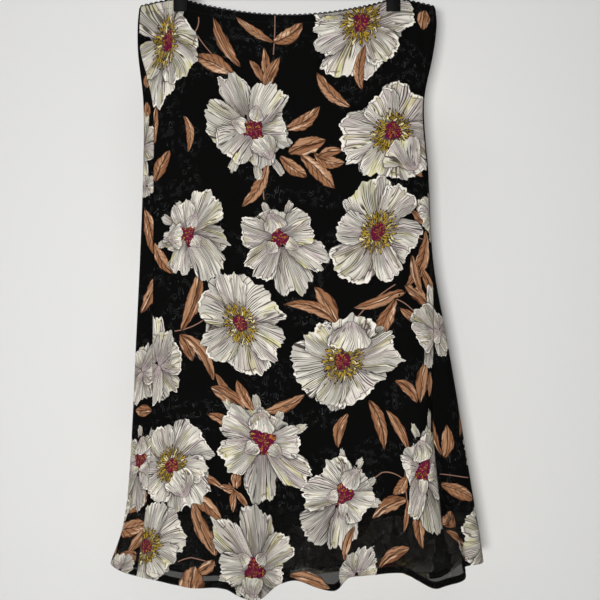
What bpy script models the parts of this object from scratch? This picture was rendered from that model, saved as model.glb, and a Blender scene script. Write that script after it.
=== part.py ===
"""Midi slip skirt on a clip hanger, one solid for each piece that is cut or moulded.

The origin is the seat of the hanger's hook, where a rail carries it. +Z is up, the skirt's
front faces -Y, and +X is to the right of the front. Lengths are metres; the tables are in
millimetres and say so. The cloth is a tube: a point on it is found from its turn round the
tube and its drop from the waist edge (0) to the hem (1).
"""

from math import acos, cos, exp, pi, radians, sin, sqrt
from typing import NamedTuple

import bmesh
import bpy
from mathutils import Matrix, Vector

MM = 0.001
GAP = 0.3 * MM                # free space between neighbouring pieces

# ---- waist edge -----------------------------------------------------------------------
CLIP_X = 143 * MM             # each clip's centre, out from the middle
WAIST_Z = -101.7 * MM         # the cloth's top edge at the clips
WAIST_SAG = 23 * MM           # how far the edge sags midway between the clips
WAIST_DROOP = 11.5 * MM       # how far its corners droop outside the clips
WAIST_CORNER_X = 200 * MM
DROOP_POWER = 1.4             # above 1, the droop steepens towards the corner

# ---- cloth walls ----------------------------------------------------------------------
PANEL_WALL = 1.2 * MM
LINING_WALL = 1.0 * MM
ELASTIC_WALL = 1.0 * MM
ELASTIC_INSET = 1.9 * MM      # outer face of the elastic and the lining's top, inside the panel's
ELASTIC_DEPTH = 11 * MM       # how far the elastic reaches below the edge
PICOT_RISE = 1.5 * MM         # how far its looped edge stands above it
LINING_START = 1.5 * MM       # where the lining starts, below the elastic
LINING_EASE = 2.4 * MM        # how much further inside the lining hangs below the waist
LINING_EASE_DROP = 0.10       # drop over which it moves in
LINING_RIDGES = 0.45          # share of each fold that the lining follows
LINING_HEM_Z = -790 * MM      # the lining's level hem

# ---- mesh of the cloth ----------------------------------------------------------------
FRONT_COLUMNS = 38
BACK_COLUMNS = 42
PANEL_ROWS = 19
LINING_COLUMNS = 20
LINING_ROWS = 13
ELASTIC_COLUMNS = 40
ELASTIC_ROWS = 2
ROW_CROWDING = 1.5            # above 1, rows crowd towards the waist
NORMAL_STEP = 0.004           # turn and drop over which a direction is measured
GAP_STEP = 0.01               # turn over which the tube's stretch is measured
SHARP_ANGLE = radians(40)     # edges above it stay crisp

# ---- form of the tube -----------------------------------------------------------------
FLAT_REACH = 55 * MM          # from a side edge to where the tube has its full depth
WING_STEP = 12 * MM           # width over which the right edge's strip steps back
RIDGE_EARLY = 1.15            # above 1, a fold is full before it meets the hem
RIDGE_TOP_REACH = 0.7         # share of its reach that a fold has where it starts

# ---- pinch of the cloth under the clips -----------------------------------------------
PINCH = 3.5 * MM              # half depth of the two layers between the jaws
PINCH_HALF_WIDTH = 20 * MM
PINCH_HEIGHT = 18 * MM
PINCH_EASE = 24 * MM          # distance over which the cloth opens again
PINCH_EDGE = 14 * MM          # from a side edge to where the pinch is full

# ---- hanger ---------------------------------------------------------------------------
BAR_LENGTH = 360 * MM
BAR_HEIGHT = 12 * MM
BAR_DEPTH = 7 * MM
BAR_Z = -86 * MM
BAR_ROUNDING = 0.46           # rounding of the bar's ends, as a share of its height
COLLAR_RADIUS = 6 * MM
COLLAR_TAPER = 0.72           # its radius at the top, as a share of the foot's
COLLAR_TOP_Z = -66 * MM
HOOK_WIRE = 1.8 * MM          # radius of the hook's wire
HOOK_INNER = 20 * MM          # radius of its throat
HOOK_SIDES = 3                # bevel resolution of the wire
HOOK_STEM = 7 * MM            # straight stretch above the collar
HOOK_BEND = Vector((2.2 * MM, 0, 14 * MM))    # from the collar to the middle of the bend
HOOK_START = radians(-50)     # the round starts here, measured from +X
HOOK_END = radians(196)
HOOK_STEPS = 22
CLIP_WIDTH = 19 * MM
CLIP_BOTTOM_Z = -118 * MM
CLIP_EDGE = 0.6 * MM          # rounding of the jaws' edges
SPRING_RADIUS = 3.2 * MM
SPRING_LENGTH = 9 * MM
SPRING_RISE = 43.5 * MM       # spring's axis above the clip's bottom


class Section(NamedTuple):
    """Outline of the tube at one drop, in millimetres."""

    drop: float
    left: float
    right: float
    front: float              # depth in front of the middle plane
    back: float               # depth behind it
    roll: float               # radius of the rolled sides
    wing: float               # width of the strip at the right edge that hangs set back
    set_back: float


SECTIONS = (
    #       drop   left   right  front  back  roll  wing  set_back
    Section(0.00, -199.5, 200.5,  6.5,  6.5,  5.0,  0,  0),
    Section(0.03, -201.5, 202.0,  8.0,  8.0,  6.0,  0,  0),
    Section(0.08, -201.0, 197.5, 11.0, 11.0,  8.0,  0,  0),
    Section(0.17, -193.8, 185.0, 16.0, 15.0, 10.5,  0,  0),
    Section(0.30, -194.2, 190.8, 19.0, 17.0, 11.5,  0,  0),
    Section(0.46, -198.6, 197.5, 21.0, 19.0, 12.0,  2,  1),
    Section(0.60, -203.6, 216.0, 24.0, 21.0, 12.5, 20,  7),
    Section(0.75, -208.6, 235.0, 26.0, 23.0, 13.0, 36,  6),
    Section(0.87, -214.5, 249.5, 28.0, 25.0, 13.5, 36,  5),
    Section(0.94, -222.5, 258.5, 29.0, 26.0, 13.5, 28,  8),
    Section(1.00, -238.0, 265.0, 30.0, 27.0, 13.5, 26, 10),
)


class Seam(NamedTuple):
    """Where the side seams lie on the front at one drop, in millimetres."""

    drop: float
    left: float
    right: float


SEAMS = (
    Seam(0.00, -197.0, 197.5),
    Seam(0.03, -198.5, 198.0),
    Seam(0.08, -197.0, 195.0),
    Seam(0.13, -187.0, 187.5),
    Seam(0.19, -178.5, 182.5),
    Seam(0.30, -178.0, 189.0),
    Seam(0.46, -178.0, 195.3),
    Seam(0.60, -178.0, 195.8),
    Seam(0.74, -178.0, 194.0),
    Seam(0.87, -185.0, 201.0),
    Seam(1.00, -198.0, 209.0),
)


class Hem(NamedTuple):
    """Height of the hem at one place across, in millimetres below the origin."""

    across: float
    height: float


FRONT_HEM = (
    Hem(-238, 860), Hem(-214, 868), Hem(-178, 870), Hem(-148, 880), Hem(-82, 886),
    Hem(-64, 893), Hem(-38, 894), Hem(-10, 880), Hem(12, 875), Hem(38, 882),
    Hem(68, 882), Hem(84, 870), Hem(152, 865), Hem(172, 874), Hem(193, 880),
    Hem(214, 871), Hem(236, 861), Hem(265, 858),
)
BACK_HEM = (
    Hem(-238, 860), Hem(-200, 878), Hem(-150, 882), Hem(-96, 892), Hem(-40, 895),
    Hem(24, 888), Hem(84, 880), Hem(140, 878), Hem(206, 897), Hem(240, 868), Hem(265, 858),
)


class Ridge(NamedTuple):
    """A soft fold that stands out from the tube, in millimetres, except start (a drop)."""

    start: float              # drop at which it starts to rise
    top: float                # where it starts, across
    foot: float               # where it meets the hem, across
    depth: float              # how far it stands out at the hem
    left: float               # reach of its left flank
    right: float              # reach of its right flank
    lean: float               # how far its crest leans over, to the right, as a share of its height


FRONT_RIDGES = (
    #     start  top   foot  depth left right  lean
    Ridge(0.10, -160, -176,  8.0,  34,  24,   0.0),
    Ridge(0.72, -116, -122,  6.0,  26,  30,   0.0),
    Ridge(0.66,  -60,  -44, 17.0,  34,  36,   0.2),
    Ridge(0.80,   36,   58, 14.0,  34,  19,   0.2),
    Ridge(0.30,  120,  112,  4.0,  40,  36,   0.0),
    Ridge(0.52,  150,  200, 17.0,  38,  32,   0.0),
    Ridge(0.88,  214,  222, 14.0,  22,  13,   0.7),
)
BACK_RIDGES = (
    Ridge(0.30, -150, -186,  9.0,  30,  36,   0.0),
    Ridge(0.58,  -84,  -92, 15.0,  30,  38,  -0.3),
    Ridge(0.70,   10,   22, 14.0,  36,  26,   0.3),
    Ridge(0.44,   96,  120,  7.0,  32,  36,   0.0),
    Ridge(0.55,  160,  206, 18.0,  34,  30,   0.2),
)


def smooth(share):
    """A share from 0 to 1, eased at both ends."""
    share = min(max(share, 0.0), 1.0)
    return share * share * (3 - 2 * share)


def read(table, at, column):
    """A column of a table at a place between its rows, on a smooth curve."""
    places = [row[0] for row in table]
    values = [getattr(row, column) for row in table]
    at = min(max(at, places[0]), places[-1])
    last = len(table) - 1
    row = max(i for i in range(last) if places[i] <= at)

    def slope(i):
        low = max(i - 1, 0)
        high = min(i + 1, last)
        return (values[high] - values[low]) / (places[high] - places[low])

    span = places[row + 1] - places[row]
    share = (at - places[row]) / span
    rise = values[row + 1] - values[row]
    ease = share * share * (3 - 2 * share)
    start = share * (1 - share) ** 2 * span * slope(row)
    end = share * share * (1 - share) * span * slope(row + 1)
    return values[row] + rise * ease + start - end


def waist_z(x):
    """Height of the waist edge: it sags between the clips and droops outside them."""
    out = abs(x)
    if out <= CLIP_X:
        return WAIST_Z - WAIST_SAG * (1 - (out / CLIP_X) ** 2)
    share = (out - CLIP_X) / (WAIST_CORNER_X - CLIP_X)
    return WAIST_Z - WAIST_DROOP * share ** DROOP_POWER


def ridge_rise(ridges, x, drop):
    """How far the folds stand out, and lean over, at a place across, at one drop."""
    height = 0.0
    lean = 0.0
    for ridge in ridges:
        if drop <= ridge.start:
            continue
        grown = (drop - ridge.start) / (1 - ridge.start)
        middle = (ridge.top + (ridge.foot - ridge.top) * grown) * MM
        reach = (ridge.left if x < middle else ridge.right) * MM
        reach *= RIDGE_TOP_REACH + (1 - RIDGE_TOP_REACH) * grown
        away = abs(x - middle) / reach
        if away < 1:
            risen = ridge.depth * MM * smooth(RIDGE_EARLY * grown) * cos(away * pi / 2) ** 2
            height += risen
            lean += ridge.lean * risen
    return height, lean


def pinch_share(x, below):
    """1 under the clips, falling to 0 where the cloth is free of them."""
    aside = max(0.0, abs(abs(x) - CLIP_X) - PINCH_HALF_WIDTH) / PINCH_EASE
    under = max(0.0, below - PINCH_HEIGHT) / PINCH_EASE
    return exp(-aside * aside - under * under)


def across(turn, drop):
    """Where a turn of the tube lies across, at one drop."""
    left = read(SECTIONS, drop, "left") * MM
    right = read(SECTIONS, drop, "right") * MM
    return (left + right) / 2 - (right - left) / 2 * cos(turn)


def hem_z(turn):
    """Height of the hem at one turn of the tube."""
    table = FRONT_HEM if sin(turn) >= 0 else BACK_HEM
    return -read(table, across(turn, 1.0) / MM, "height") * MM


def cloth_point(turn, drop, ridge_share=1.0):
    """Outer face of the tube. Turn 0 is the left edge, pi / 2 the front, pi the right edge."""
    level = min(max(drop, 0.0), 1.0)
    left = read(SECTIONS, level, "left") * MM
    right = read(SECTIONS, level, "right") * MM
    x = across(turn, level)
    in_front = sin(turn) >= 0
    roll = read(SECTIONS, level, "roll") * MM
    depth = read(SECTIONS, level, "front" if in_front else "back") * MM
    if in_front:
        wing = read(SECTIONS, level, "wing") * MM
        set_back = read(SECTIONS, level, "set_back") * MM
        depth -= set_back * smooth(1 - (right - x - wing) / WING_STEP)
    edge = max(0.0, min(x - left, right - x))
    inside = min(edge / roll, 1.0)
    y = roll * sqrt(1 - (1 - inside) ** 2) + (depth - roll) * smooth(edge / FLAT_REACH)
    risen, lean = ridge_rise(FRONT_RIDGES if in_front else BACK_RIDGES, x, level)
    y += ridge_share * risen
    top = waist_z(across(turn, 0.0))
    z = top + drop * (hem_z(turn) - top)
    pinched = pinch_share(x, top - z)
    y += (PINCH - y) * pinched * smooth(edge / PINCH_EDGE)
    return Vector((x + ridge_share * lean, -y if in_front else y, z))


def cloth_normal(turn, drop, ridge_share=1.0):
    """Outward direction of the tube, from two short steps along it."""
    step = NORMAL_STEP
    around = cloth_point(turn + step, drop, ridge_share) - cloth_point(turn - step, drop, ridge_share)
    down = cloth_point(turn, drop + step, ridge_share) - cloth_point(turn, drop - step, ridge_share)
    return down.cross(around).normalized()


def inset_point(turn, drop, inset, ridge_share=1.0):
    """A point on the tube moved inwards."""
    point = cloth_point(turn, drop, ridge_share)
    return point - cloth_normal(turn, drop, ridge_share) * inset


def seam_turn(side, drop):
    """Turn at which a side seam lies on the front, at one drop."""
    level = min(max(drop, 0.0), 1.0)
    left = read(SECTIONS, level, "left")
    right = read(SECTIONS, level, "right")
    place = read(SEAMS, level, side)
    return acos(((left + right) / 2 - place) / ((right - left) / 2))


def turn_of_gap(turn, drop, gap):
    """Turn that makes a gap of this width on the tube."""
    stretch = cloth_point(turn + GAP_STEP, drop) - cloth_point(turn - GAP_STEP, drop)
    return gap * 2 * GAP_STEP / stretch.length


def own_material(name, colour, roughness, metallic=0.0):
    """A material of one finish."""
    material = bpy.data.materials.new(name)
    material.use_nodes = True
    shader = material.node_tree.nodes["Principled BSDF"]
    shader.inputs["Base Color"].default_value = (*colour, 1.0)
    shader.inputs["Roughness"].default_value = roughness
    shader.inputs["Metallic"].default_value = metallic
    return material


def add_object(name, bm, material):
    """Put a finished mesh in the scene, shaded smooth with crisp edges kept."""
    mesh = bpy.data.meshes.new(name)
    bmesh.ops.recalc_face_normals(bm, faces=bm.faces)
    bm.to_mesh(mesh)
    bm.free()
    mesh.shade_smooth()
    mesh.set_sharp_from_angle(angle=SHARP_ANGLE)
    mesh.materials.append(material)
    made = bpy.data.objects.new(name, mesh)
    bpy.context.collection.objects.link(made)
    return made


def cloth_wall(name, place, columns, rows, material):
    """A wall of cloth.

    place(around, down, face) gives a point from shares of 0 to 1 across and down the piece,
    on its outer face (0) or its inner face (1).
    """
    bm = bmesh.new()
    bmesh.ops.create_grid(bm, x_segments=columns, y_segments=rows, size=0.5)
    around = bm.verts.layers.float.new("around")
    down = bm.verts.layers.float.new("down")
    for vert in bm.verts:
        vert[around] = vert.co.x + 0.5
        vert[down] = 0.5 - vert.co.y
        vert.co = place(vert[around], vert[down], 0)
    bmesh.ops.triangulate(bm, faces=bm.faces, quad_method="FIXED")
    extruded = bmesh.ops.extrude_face_region(bm, geom=bm.faces[:], use_keep_orig=True)
    for item in extruded["geom"]:
        if isinstance(item, bmesh.types.BMVert):
            item.co = place(item[around], item[down], 1)
    return add_object(name, bm, material)


def crowded(share):
    """Shares of a panel's length, closer together towards the waist."""
    return share ** ROW_CROWDING


def front_panel(material):
    """The front, from seam to seam."""

    def place(around, down, face):
        drop = crowded(down)
        first = seam_turn("left", drop)
        last = seam_turn("right", drop)
        first += turn_of_gap(first, drop, GAP / 2)
        last -= turn_of_gap(last, drop, GAP / 2)
        return inset_point(first + (last - first) * around, drop, face * PANEL_WALL)

    return cloth_wall("front_panel", place, FRONT_COLUMNS, PANEL_ROWS, material)


def back_panel(material):
    """The back, which rolls round both side edges to the seams on the front."""

    def place(around, down, face):
        drop = crowded(down)
        first = seam_turn("right", drop)
        last = seam_turn("left", drop) + 2 * pi
        first += turn_of_gap(first, drop, GAP / 2)
        last -= turn_of_gap(last, drop, GAP / 2)
        return inset_point(first + (last - first) * around, drop, face * PANEL_WALL)

    return cloth_wall("back_panel", place, BACK_COLUMNS, PANEL_ROWS, material)


def lining_panel(name, first_turn, material):
    """Half of the lining, from one side edge to the other, down to its level hem."""

    def place(around, down, face):
        edge = turn_of_gap(first_turn, 0.5, GAP)
        turn = first_turn + edge + (pi - 2 * edge) * around
        top = waist_z(across(turn, 0.0))
        length = top - hem_z(turn)
        start = (ELASTIC_DEPTH + LINING_START) / length
        end = (top - LINING_HEM_Z) / length
        drop = start + (end - start) * crowded(down)
        ease = LINING_EASE * smooth(drop / LINING_EASE_DROP)
        return inset_point(turn, drop, ELASTIC_INSET + ease + face * LINING_WALL, LINING_RIDGES)

    return cloth_wall(name, place, LINING_COLUMNS, LINING_ROWS, material)


def elastic_half(name, first_turn, material):
    """Half of the elastic's ring inside the top edge, from one side edge to the other."""

    def place(around, down, face):
        edge = turn_of_gap(first_turn, 0.0, GAP)
        turn = first_turn + edge + (pi - 2 * edge) * around
        length = waist_z(across(turn, 0.0)) - hem_z(turn)
        drop = (-PICOT_RISE + (ELASTIC_DEPTH + PICOT_RISE) * down) / length
        return inset_point(turn, drop, ELASTIC_INSET + face * ELASTIC_WALL)

    return cloth_wall(name, place, ELASTIC_COLUMNS, ELASTIC_ROWS, material)


def hanger_bar(material):
    """The bar that carries the clips, with round ends."""
    bm = bmesh.new()
    size = (BAR_LENGTH, BAR_DEPTH, BAR_HEIGHT)
    bmesh.ops.create_cube(bm, size=1.0, matrix=Matrix.Diagonal((*size, 1.0)))
    ends = [edge for edge in bm.edges if abs(edge.verts[0].co.y - edge.verts[1].co.y) > BAR_DEPTH / 2]
    bmesh.ops.bevel(bm, geom=ends, offset=BAR_HEIGHT * BAR_ROUNDING, segments=4, profile=0.5,
                    affect="EDGES", material=-1)
    made = add_object("hanger_bar", bm, material)
    made.location = (0, 0, BAR_Z)
    return made


def hanger_collar(material):
    """The moulded collar that the hook stands in."""
    base = BAR_Z + BAR_HEIGHT / 2 + GAP
    height = COLLAR_TOP_Z - base
    bm = bmesh.new()
    bmesh.ops.create_cone(bm, cap_ends=True, segments=20, radius1=COLLAR_RADIUS,
                          radius2=COLLAR_RADIUS * COLLAR_TAPER, depth=height)
    made = add_object("hanger_collar", bm, material)
    made.location = (0, 0, base + height / 2)
    return made


def hook_route():
    """Middle of the hook's wire: up from the collar, out, and over the seat to its tip."""
    radius = HOOK_INNER + HOOK_WIRE
    centre = Vector((0, 0, -HOOK_INNER))
    start = Vector((0, 0, COLLAR_TOP_Z + GAP))
    route = [start, start + Vector((0, 0, HOOK_STEM)), start + HOOK_BEND]
    for i in range(HOOK_STEPS + 1):
        angle = HOOK_START + (HOOK_END - HOOK_START) * i / HOOK_STEPS
        route.append(centre + Vector((cos(angle), 0, sin(angle))) * radius)
    return route


def hanger_hook(material):
    """The wire hook."""
    curve = bpy.data.curves.new("hanger_hook", "CURVE")
    curve.dimensions = "3D"
    curve.bevel_depth = HOOK_WIRE
    curve.bevel_resolution = HOOK_SIDES
    curve.use_fill_caps = True
    curve.twist_mode = "Z_UP"
    route = hook_route()
    spline = curve.splines.new("POLY")
    spline.points.add(len(route) - 1)
    for point, place in zip(spline.points, route):
        point.co = (*place, 1.0)
    curve.materials.append(material)
    made = bpy.data.objects.new("hanger_hook", curve)
    bpy.context.collection.objects.link(made)
    return made


def clip_jaw(name, x, side, material):
    """One jaw of a clip; side is -1 for the front jaw and 1 for the back jaw.

    Its profile is flat on the cloth, passes the bar and splays at the top for the fingers.
    """
    inner = PINCH + GAP
    profile = (
        (inner, 0), (inner, 20 * MM), (inner + GAP, 22 * MM), (inner + GAP, 39 * MM),
        (6.6 * MM, 50 * MM), (8.9 * MM, 50 * MM), (6.3 * MM, 38 * MM), (6.0 * MM, 0),
    )
    bm = bmesh.new()
    verts = [bm.verts.new((-CLIP_WIDTH / 2, side * y, z)) for y, z in profile]
    face = bm.faces.new(verts)
    swept = bmesh.ops.extrude_face_region(bm, geom=[face], use_keep_orig=True)
    moved = [item for item in swept["geom"] if isinstance(item, bmesh.types.BMVert)]
    bmesh.ops.translate(bm, verts=moved, vec=(CLIP_WIDTH, 0, 0))
    bmesh.ops.recalc_face_normals(bm, faces=bm.faces)
    outline = [edge for edge in bm.edges if edge.calc_face_angle(0) > SHARP_ANGLE]
    bmesh.ops.bevel(bm, geom=outline, offset=CLIP_EDGE, segments=2, profile=0.5,
                    affect="EDGES", material=-1)
    made = add_object(name, bm, material)
    made.location = (x, 0, CLIP_BOTTOM_Z)
    return made


def clip_spring(name, x, material):
    """The coil that presses a clip's jaws together, as the cylinder it fills."""
    bm = bmesh.new()
    bmesh.ops.create_cone(bm, cap_ends=True, segments=16, radius1=SPRING_RADIUS,
                          radius2=SPRING_RADIUS, depth=SPRING_LENGTH)
    bmesh.ops.rotate(bm, verts=bm.verts, matrix=Matrix.Rotation(pi / 2, 3, "Y"))
    made = add_object(name, bm, material)
    made.location = (x, 0, CLIP_BOTTOM_Z + SPRING_RISE)
    return made


def clear_scene():
    """Remove what a new file holds."""
    for item in list(bpy.data.objects):
        bpy.data.objects.remove(item, do_unlink=True)


def main():
    """Build every piece."""
    clear_scene()
    printed = own_material("printed_crepe", (0.30, 0.27, 0.25), 0.75)
    lining = own_material("lining", (0.012, 0.012, 0.014), 0.6)
    elastic = own_material("elastic", (0.01, 0.01, 0.01), 0.8)
    plastic = own_material("black_plastic", (0.012, 0.012, 0.012), 0.35)
    steel = own_material("steel_wire", (0.72, 0.72, 0.70), 0.25, 1.0)

    front_panel(printed)
    back_panel(printed)
    lining_panel("front_lining", 0.0, lining)
    lining_panel("back_lining", pi, lining)
    elastic_half("front_elastic", 0.0, elastic)
    elastic_half("back_elastic", pi, elastic)

    hanger_bar(plastic)
    hanger_collar(plastic)
    hanger_hook(steel)
    for side, x in (("left", -CLIP_X), ("right", CLIP_X)):
        clip_jaw(f"clip_{side}_front_jaw", x, -1, plastic)
        clip_jaw(f"clip_{side}_back_jaw", x, 1, plastic)
        clip_spring(f"clip_{side}_spring", x, steel)


main()
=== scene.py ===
"""The looks of a midi slip skirt of printed crepe, hung by its waist from a clip hanger.

The origin is the seat of the hanger's hook, +Z is up, the skirt's front faces -Y and +X is to the
right of the front. Lengths are metres; the tables are in millimetres and say so. The cloth is a
tube: a point on it is found from its turn round the tube (0 at the left edge, pi / 2 in front) and
its drop from the waist edge (0) to the hem (1). The print is laid out on the flat cloth, in its
distances across from the panel's centre line and down from the waist.
"""

import logging
import math
from dataclasses import dataclass, field
from enum import IntEnum, StrEnum
from typing import Callable, NamedTuple, Sequence, Union

import bmesh
import bpy
import numpy as np
from bmesh.types import BMEdge, BMesh, BMVert
from bpy.types import Material, Mesh, Node, NodeSocket, NodeTree, Object
from mathutils import Matrix, Vector

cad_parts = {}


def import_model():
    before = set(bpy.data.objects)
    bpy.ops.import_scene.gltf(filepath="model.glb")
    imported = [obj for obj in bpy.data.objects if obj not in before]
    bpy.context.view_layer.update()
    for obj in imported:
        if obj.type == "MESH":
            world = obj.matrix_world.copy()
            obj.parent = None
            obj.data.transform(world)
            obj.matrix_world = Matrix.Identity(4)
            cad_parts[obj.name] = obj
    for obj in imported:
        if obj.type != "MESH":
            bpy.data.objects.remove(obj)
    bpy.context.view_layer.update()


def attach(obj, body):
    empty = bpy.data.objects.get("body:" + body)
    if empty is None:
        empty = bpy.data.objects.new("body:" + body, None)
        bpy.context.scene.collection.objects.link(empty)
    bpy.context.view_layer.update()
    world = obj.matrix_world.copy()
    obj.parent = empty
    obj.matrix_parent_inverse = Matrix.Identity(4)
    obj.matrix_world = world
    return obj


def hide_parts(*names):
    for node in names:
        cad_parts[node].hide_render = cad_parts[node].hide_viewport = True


Array = np.ndarray
Colour = tuple[float, float, float]
Feed = Union["Wire", float, tuple]      # what a node's socket can be given
Wires = dict[str, "Wire"]

log = logging.getLogger("slip_skirt")

MM = 0.001
GAP = 0.3 * MM                # free space between neighbouring pieces
BODY = "root"                 # the frame's only body


class Side(StrEnum):
    """The two sides of the skirt, as the pieces' names give them."""

    FRONT = "front"
    BACK = "back"


# Form of the cloth

class Section(NamedTuple):
    """Outline of the tube at one drop, in millimetres."""

    drop: float
    left: float
    right: float
    front: float              # depth in front of the middle plane
    back: float               # depth behind it
    roll: float               # radius of the rolled sides
    wing: float               # width of the strip at the right edge that hangs set back
    set_back: float


class Seam(NamedTuple):
    """Where the side seams lie on the front at one drop, in millimetres."""

    drop: float
    left: float
    right: float


class Hem(NamedTuple):
    """Height of the hem at one place across, in millimetres below the origin."""

    across: float
    height: float


class Ridge(NamedTuple):
    """A soft fold that grows towards the hem, in millimetres, except start (a drop)."""

    start: float              # drop at which it starts to rise
    top: float                # where it starts, across
    foot: float               # where it meets the hem, across
    depth: float              # how far it stands out at the hem
    left: float               # reach of its left flank
    right: float              # reach of its right flank
    lean: float               # how far its crest leans over, to the right, as a share of its height


class Crease(NamedTuple):
    """A shallow crease between two drops, in millimetres, except start and end (drops)."""

    top: float                # where it starts, across
    foot: float               # where it ends, across
    start: float
    end: float
    depth: float              # how far it stands out, or in if negative
    width: float              # half of its width


class Tuck(NamedTuple):
    """A narrow lap that hides a strip of cloth, in millimetres, except start and end (drops)."""

    top: float
    foot: float
    start: float
    end: float
    hidden: float             # width of the strip that it hides
    lift: float               # how far its edge stands proud


def rows(kind: type, *values: tuple) -> tuple:
    """A table whose rows are all of one kind."""
    return tuple(kind(*row) for row in values)


SECTIONS = rows(Section,
    (0, -199.5, 200.5, 6.5, 6.5, 5, 0, 0), (0.03, -201.5, 202, 8, 8, 6, 0, 0),
    (0.08, -201, 197.5, 11, 11, 8, 0, 0), (0.17, -193.8, 185, 16, 15, 10.5, 0, 0),
    (0.3, -194.2, 190.8, 19, 17, 11.5, 0, 0), (0.46, -198.6, 197.5, 21, 19, 12, 2, 1),
    (0.6, -203.6, 216, 24, 21, 12.5, 20, 7), (0.75, -208.6, 235, 26, 23, 13, 36, 6),
    (0.87, -214.5, 249.5, 28, 25, 13.5, 36, 5), (0.94, -222.5, 258.5, 29, 26, 13.5, 28, 8),
    (1, -238, 265, 30, 27, 13.5, 26, 10),
)
SEAMS = rows(Seam,
    (0, -197, 197.5), (0.03, -198.5, 198), (0.08, -197, 195), (0.13, -187, 187.5), (0.19, -178.5, 182.5),
    (0.3, -178, 189), (0.46, -178, 195.3), (0.6, -178, 195.8), (0.74, -178, 194), (0.87, -185, 201),
    (1, -198, 209),
)
FRONT_HEM = rows(Hem,
    (-238, 860), (-214, 868), (-178, 870), (-148, 880), (-82, 886), (-64, 893), (-38, 894), (-10, 880),
    (12, 875), (38, 882), (68, 882), (84, 870), (152, 865), (172, 874), (193, 880), (214, 871), (236, 861),
    (265, 858),
)
BACK_HEM = rows(Hem,
    (-238, 860), (-200, 878), (-150, 882), (-96, 892), (-40, 895), (24, 888), (84, 880), (140, 878),
    (206, 897), (240, 868), (265, 858),
)
FRONT_RIDGES = rows(Ridge,
    (0.1, -160, -176, 8, 34, 24, 0), (0.72, -116, -122, 6, 26, 30, 0), (0.66, -60, -44, 17, 34, 36, 0.2),
    (0.8, 36, 58, 14, 34, 19, 0.2), (0.3, 120, 112, 4, 40, 36, 0), (0.52, 150, 200, 17, 38, 32, 0),
    (0.88, 214, 222, 14, 22, 13, 0.7),
)
BACK_RIDGES = rows(Ridge,
    (0.3, -150, -186, 9, 30, 36, 0), (0.58, -84, -92, 15, 30, 38, -0.3), (0.7, 10, 22, 14, 36, 26, 0.3),
    (0.44, 96, 120, 7, 32, 36, 0), (0.55, 160, 206, 18, 34, 30, 0.2),
)
FRONT_CREASES = rows(Crease,
    (-193, -189, 0, 0.1, 0.9, 3), (-184, -181, 0, 0.15, -1.1, 3.5), (-171, -173, 0, 0.09, 0.8, 3.5),
    (-127, -131, 0.01, 0.13, -0.8, 5), (-112, -108, 0, 0.07, 0.6, 5), (-84, -88, 0, 0.05, -0.4, 5),
    (-46, -43, 0, 0.06, 0.4, 6), (4, 7, 0, 0.05, -0.4, 5), (38, 34, 0, 0.06, 0.4, 6),
    (78, 82, 0, 0.07, -0.5, 5), (112, 107, 0, 0.11, 0.7, 5), (127, 125, 0.01, 0.15, -0.8, 5),
    (158, 163, 0, 0.1, -0.9, 4), (172, 176, 0, 0.14, 0.9, 4), (185, 184, 0, 0.12, -1, 3),
    (-172, -160, 0.14, 0.62, -1.6, 9), (-120, -128, 0.22, 0.8, 1.4, 16), (-78, -70, 0.3, 0.74, -1.5, 14),
    (-20, -30, 0.36, 0.96, 1.3, 18), (22, 18, 0.1, 0.56, -1, 16), (70, 82, 0.46, 0.98, -1.6, 12),
    (140, 150, 0.16, 0.6, 1.3, 12), (172, 168, 0.2, 0.58, -1.5, 8), (-150, -158, 0.7, 1.1, 1.8, 9),
    (-96, -88, 0.82, 1.1, -1.6, 9), (6, 10, 0.8, 1.1, -1.6, 11), (108, 116, 0.84, 1.1, 1.5, 10),
    (150, 160, 0.74, 1.1, -1.4, 8),
)
BACK_CREASES = rows(Crease,
    (-190, -186, 0, 0.12, 0.9, 3.5), (-178, -182, 0, 0.09, -0.9, 4), (-160, -158, 0, 0.15, 0.8, 4),
    (-124, -129, 0.01, 0.12, -0.8, 5), (-92, -88, 0, 0.06, 0.5, 6), (-44, -47, 0, 0.05, -0.4, 6),
    (8, 12, 0, 0.07, 0.5, 5), (58, 55, 0, 0.05, -0.5, 6), (104, 108, 0, 0.12, 0.7, 5),
    (128, 124, 0.01, 0.14, -0.8, 5), (166, 170, 0, 0.13, 0.9, 4), (186, 183, 0, 0.09, -0.9, 3.5),
    (-130, -118, 0.18, 0.66, 1.5, 14), (-58, -66, 0.26, 0.82, -1.6, 12), (-8, -4, 0.12, 0.6, 1.2, 17),
    (52, 64, 0.4, 0.97, -1.5, 12), (132, 124, 0.2, 0.72, 1.4, 14), (-138, -146, 0.76, 1.1, -1.7, 10),
    (-40, -34, 0.8, 1.1, 1.5, 10), (78, 70, 0.72, 1.1, 1.6, 11), (158, 166, 0.8, 1.1, -1.6, 9),
)
FRONT_TUCKS = rows(Tuck,
    (-152, -153, -0.02, 0.16, 11, 0.7), (-151, -151, 0.52, 0.69, 6, 0.6), (161, 163, 0.76, 0.99, 9, 0.7),
)
BACK_TUCKS = rows(Tuck,
    (120, 118, -0.02, 0.12, 6, 0.6), (-98, -101, 0.6, 0.92, 7, 0.6),
)


def smooth(share: Array) -> Array:
    """Shares from 0 to 1, eased at both ends."""
    share = np.clip(share, 0.0, 1.0)
    return share * share * (3 - 2 * share)


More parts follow.
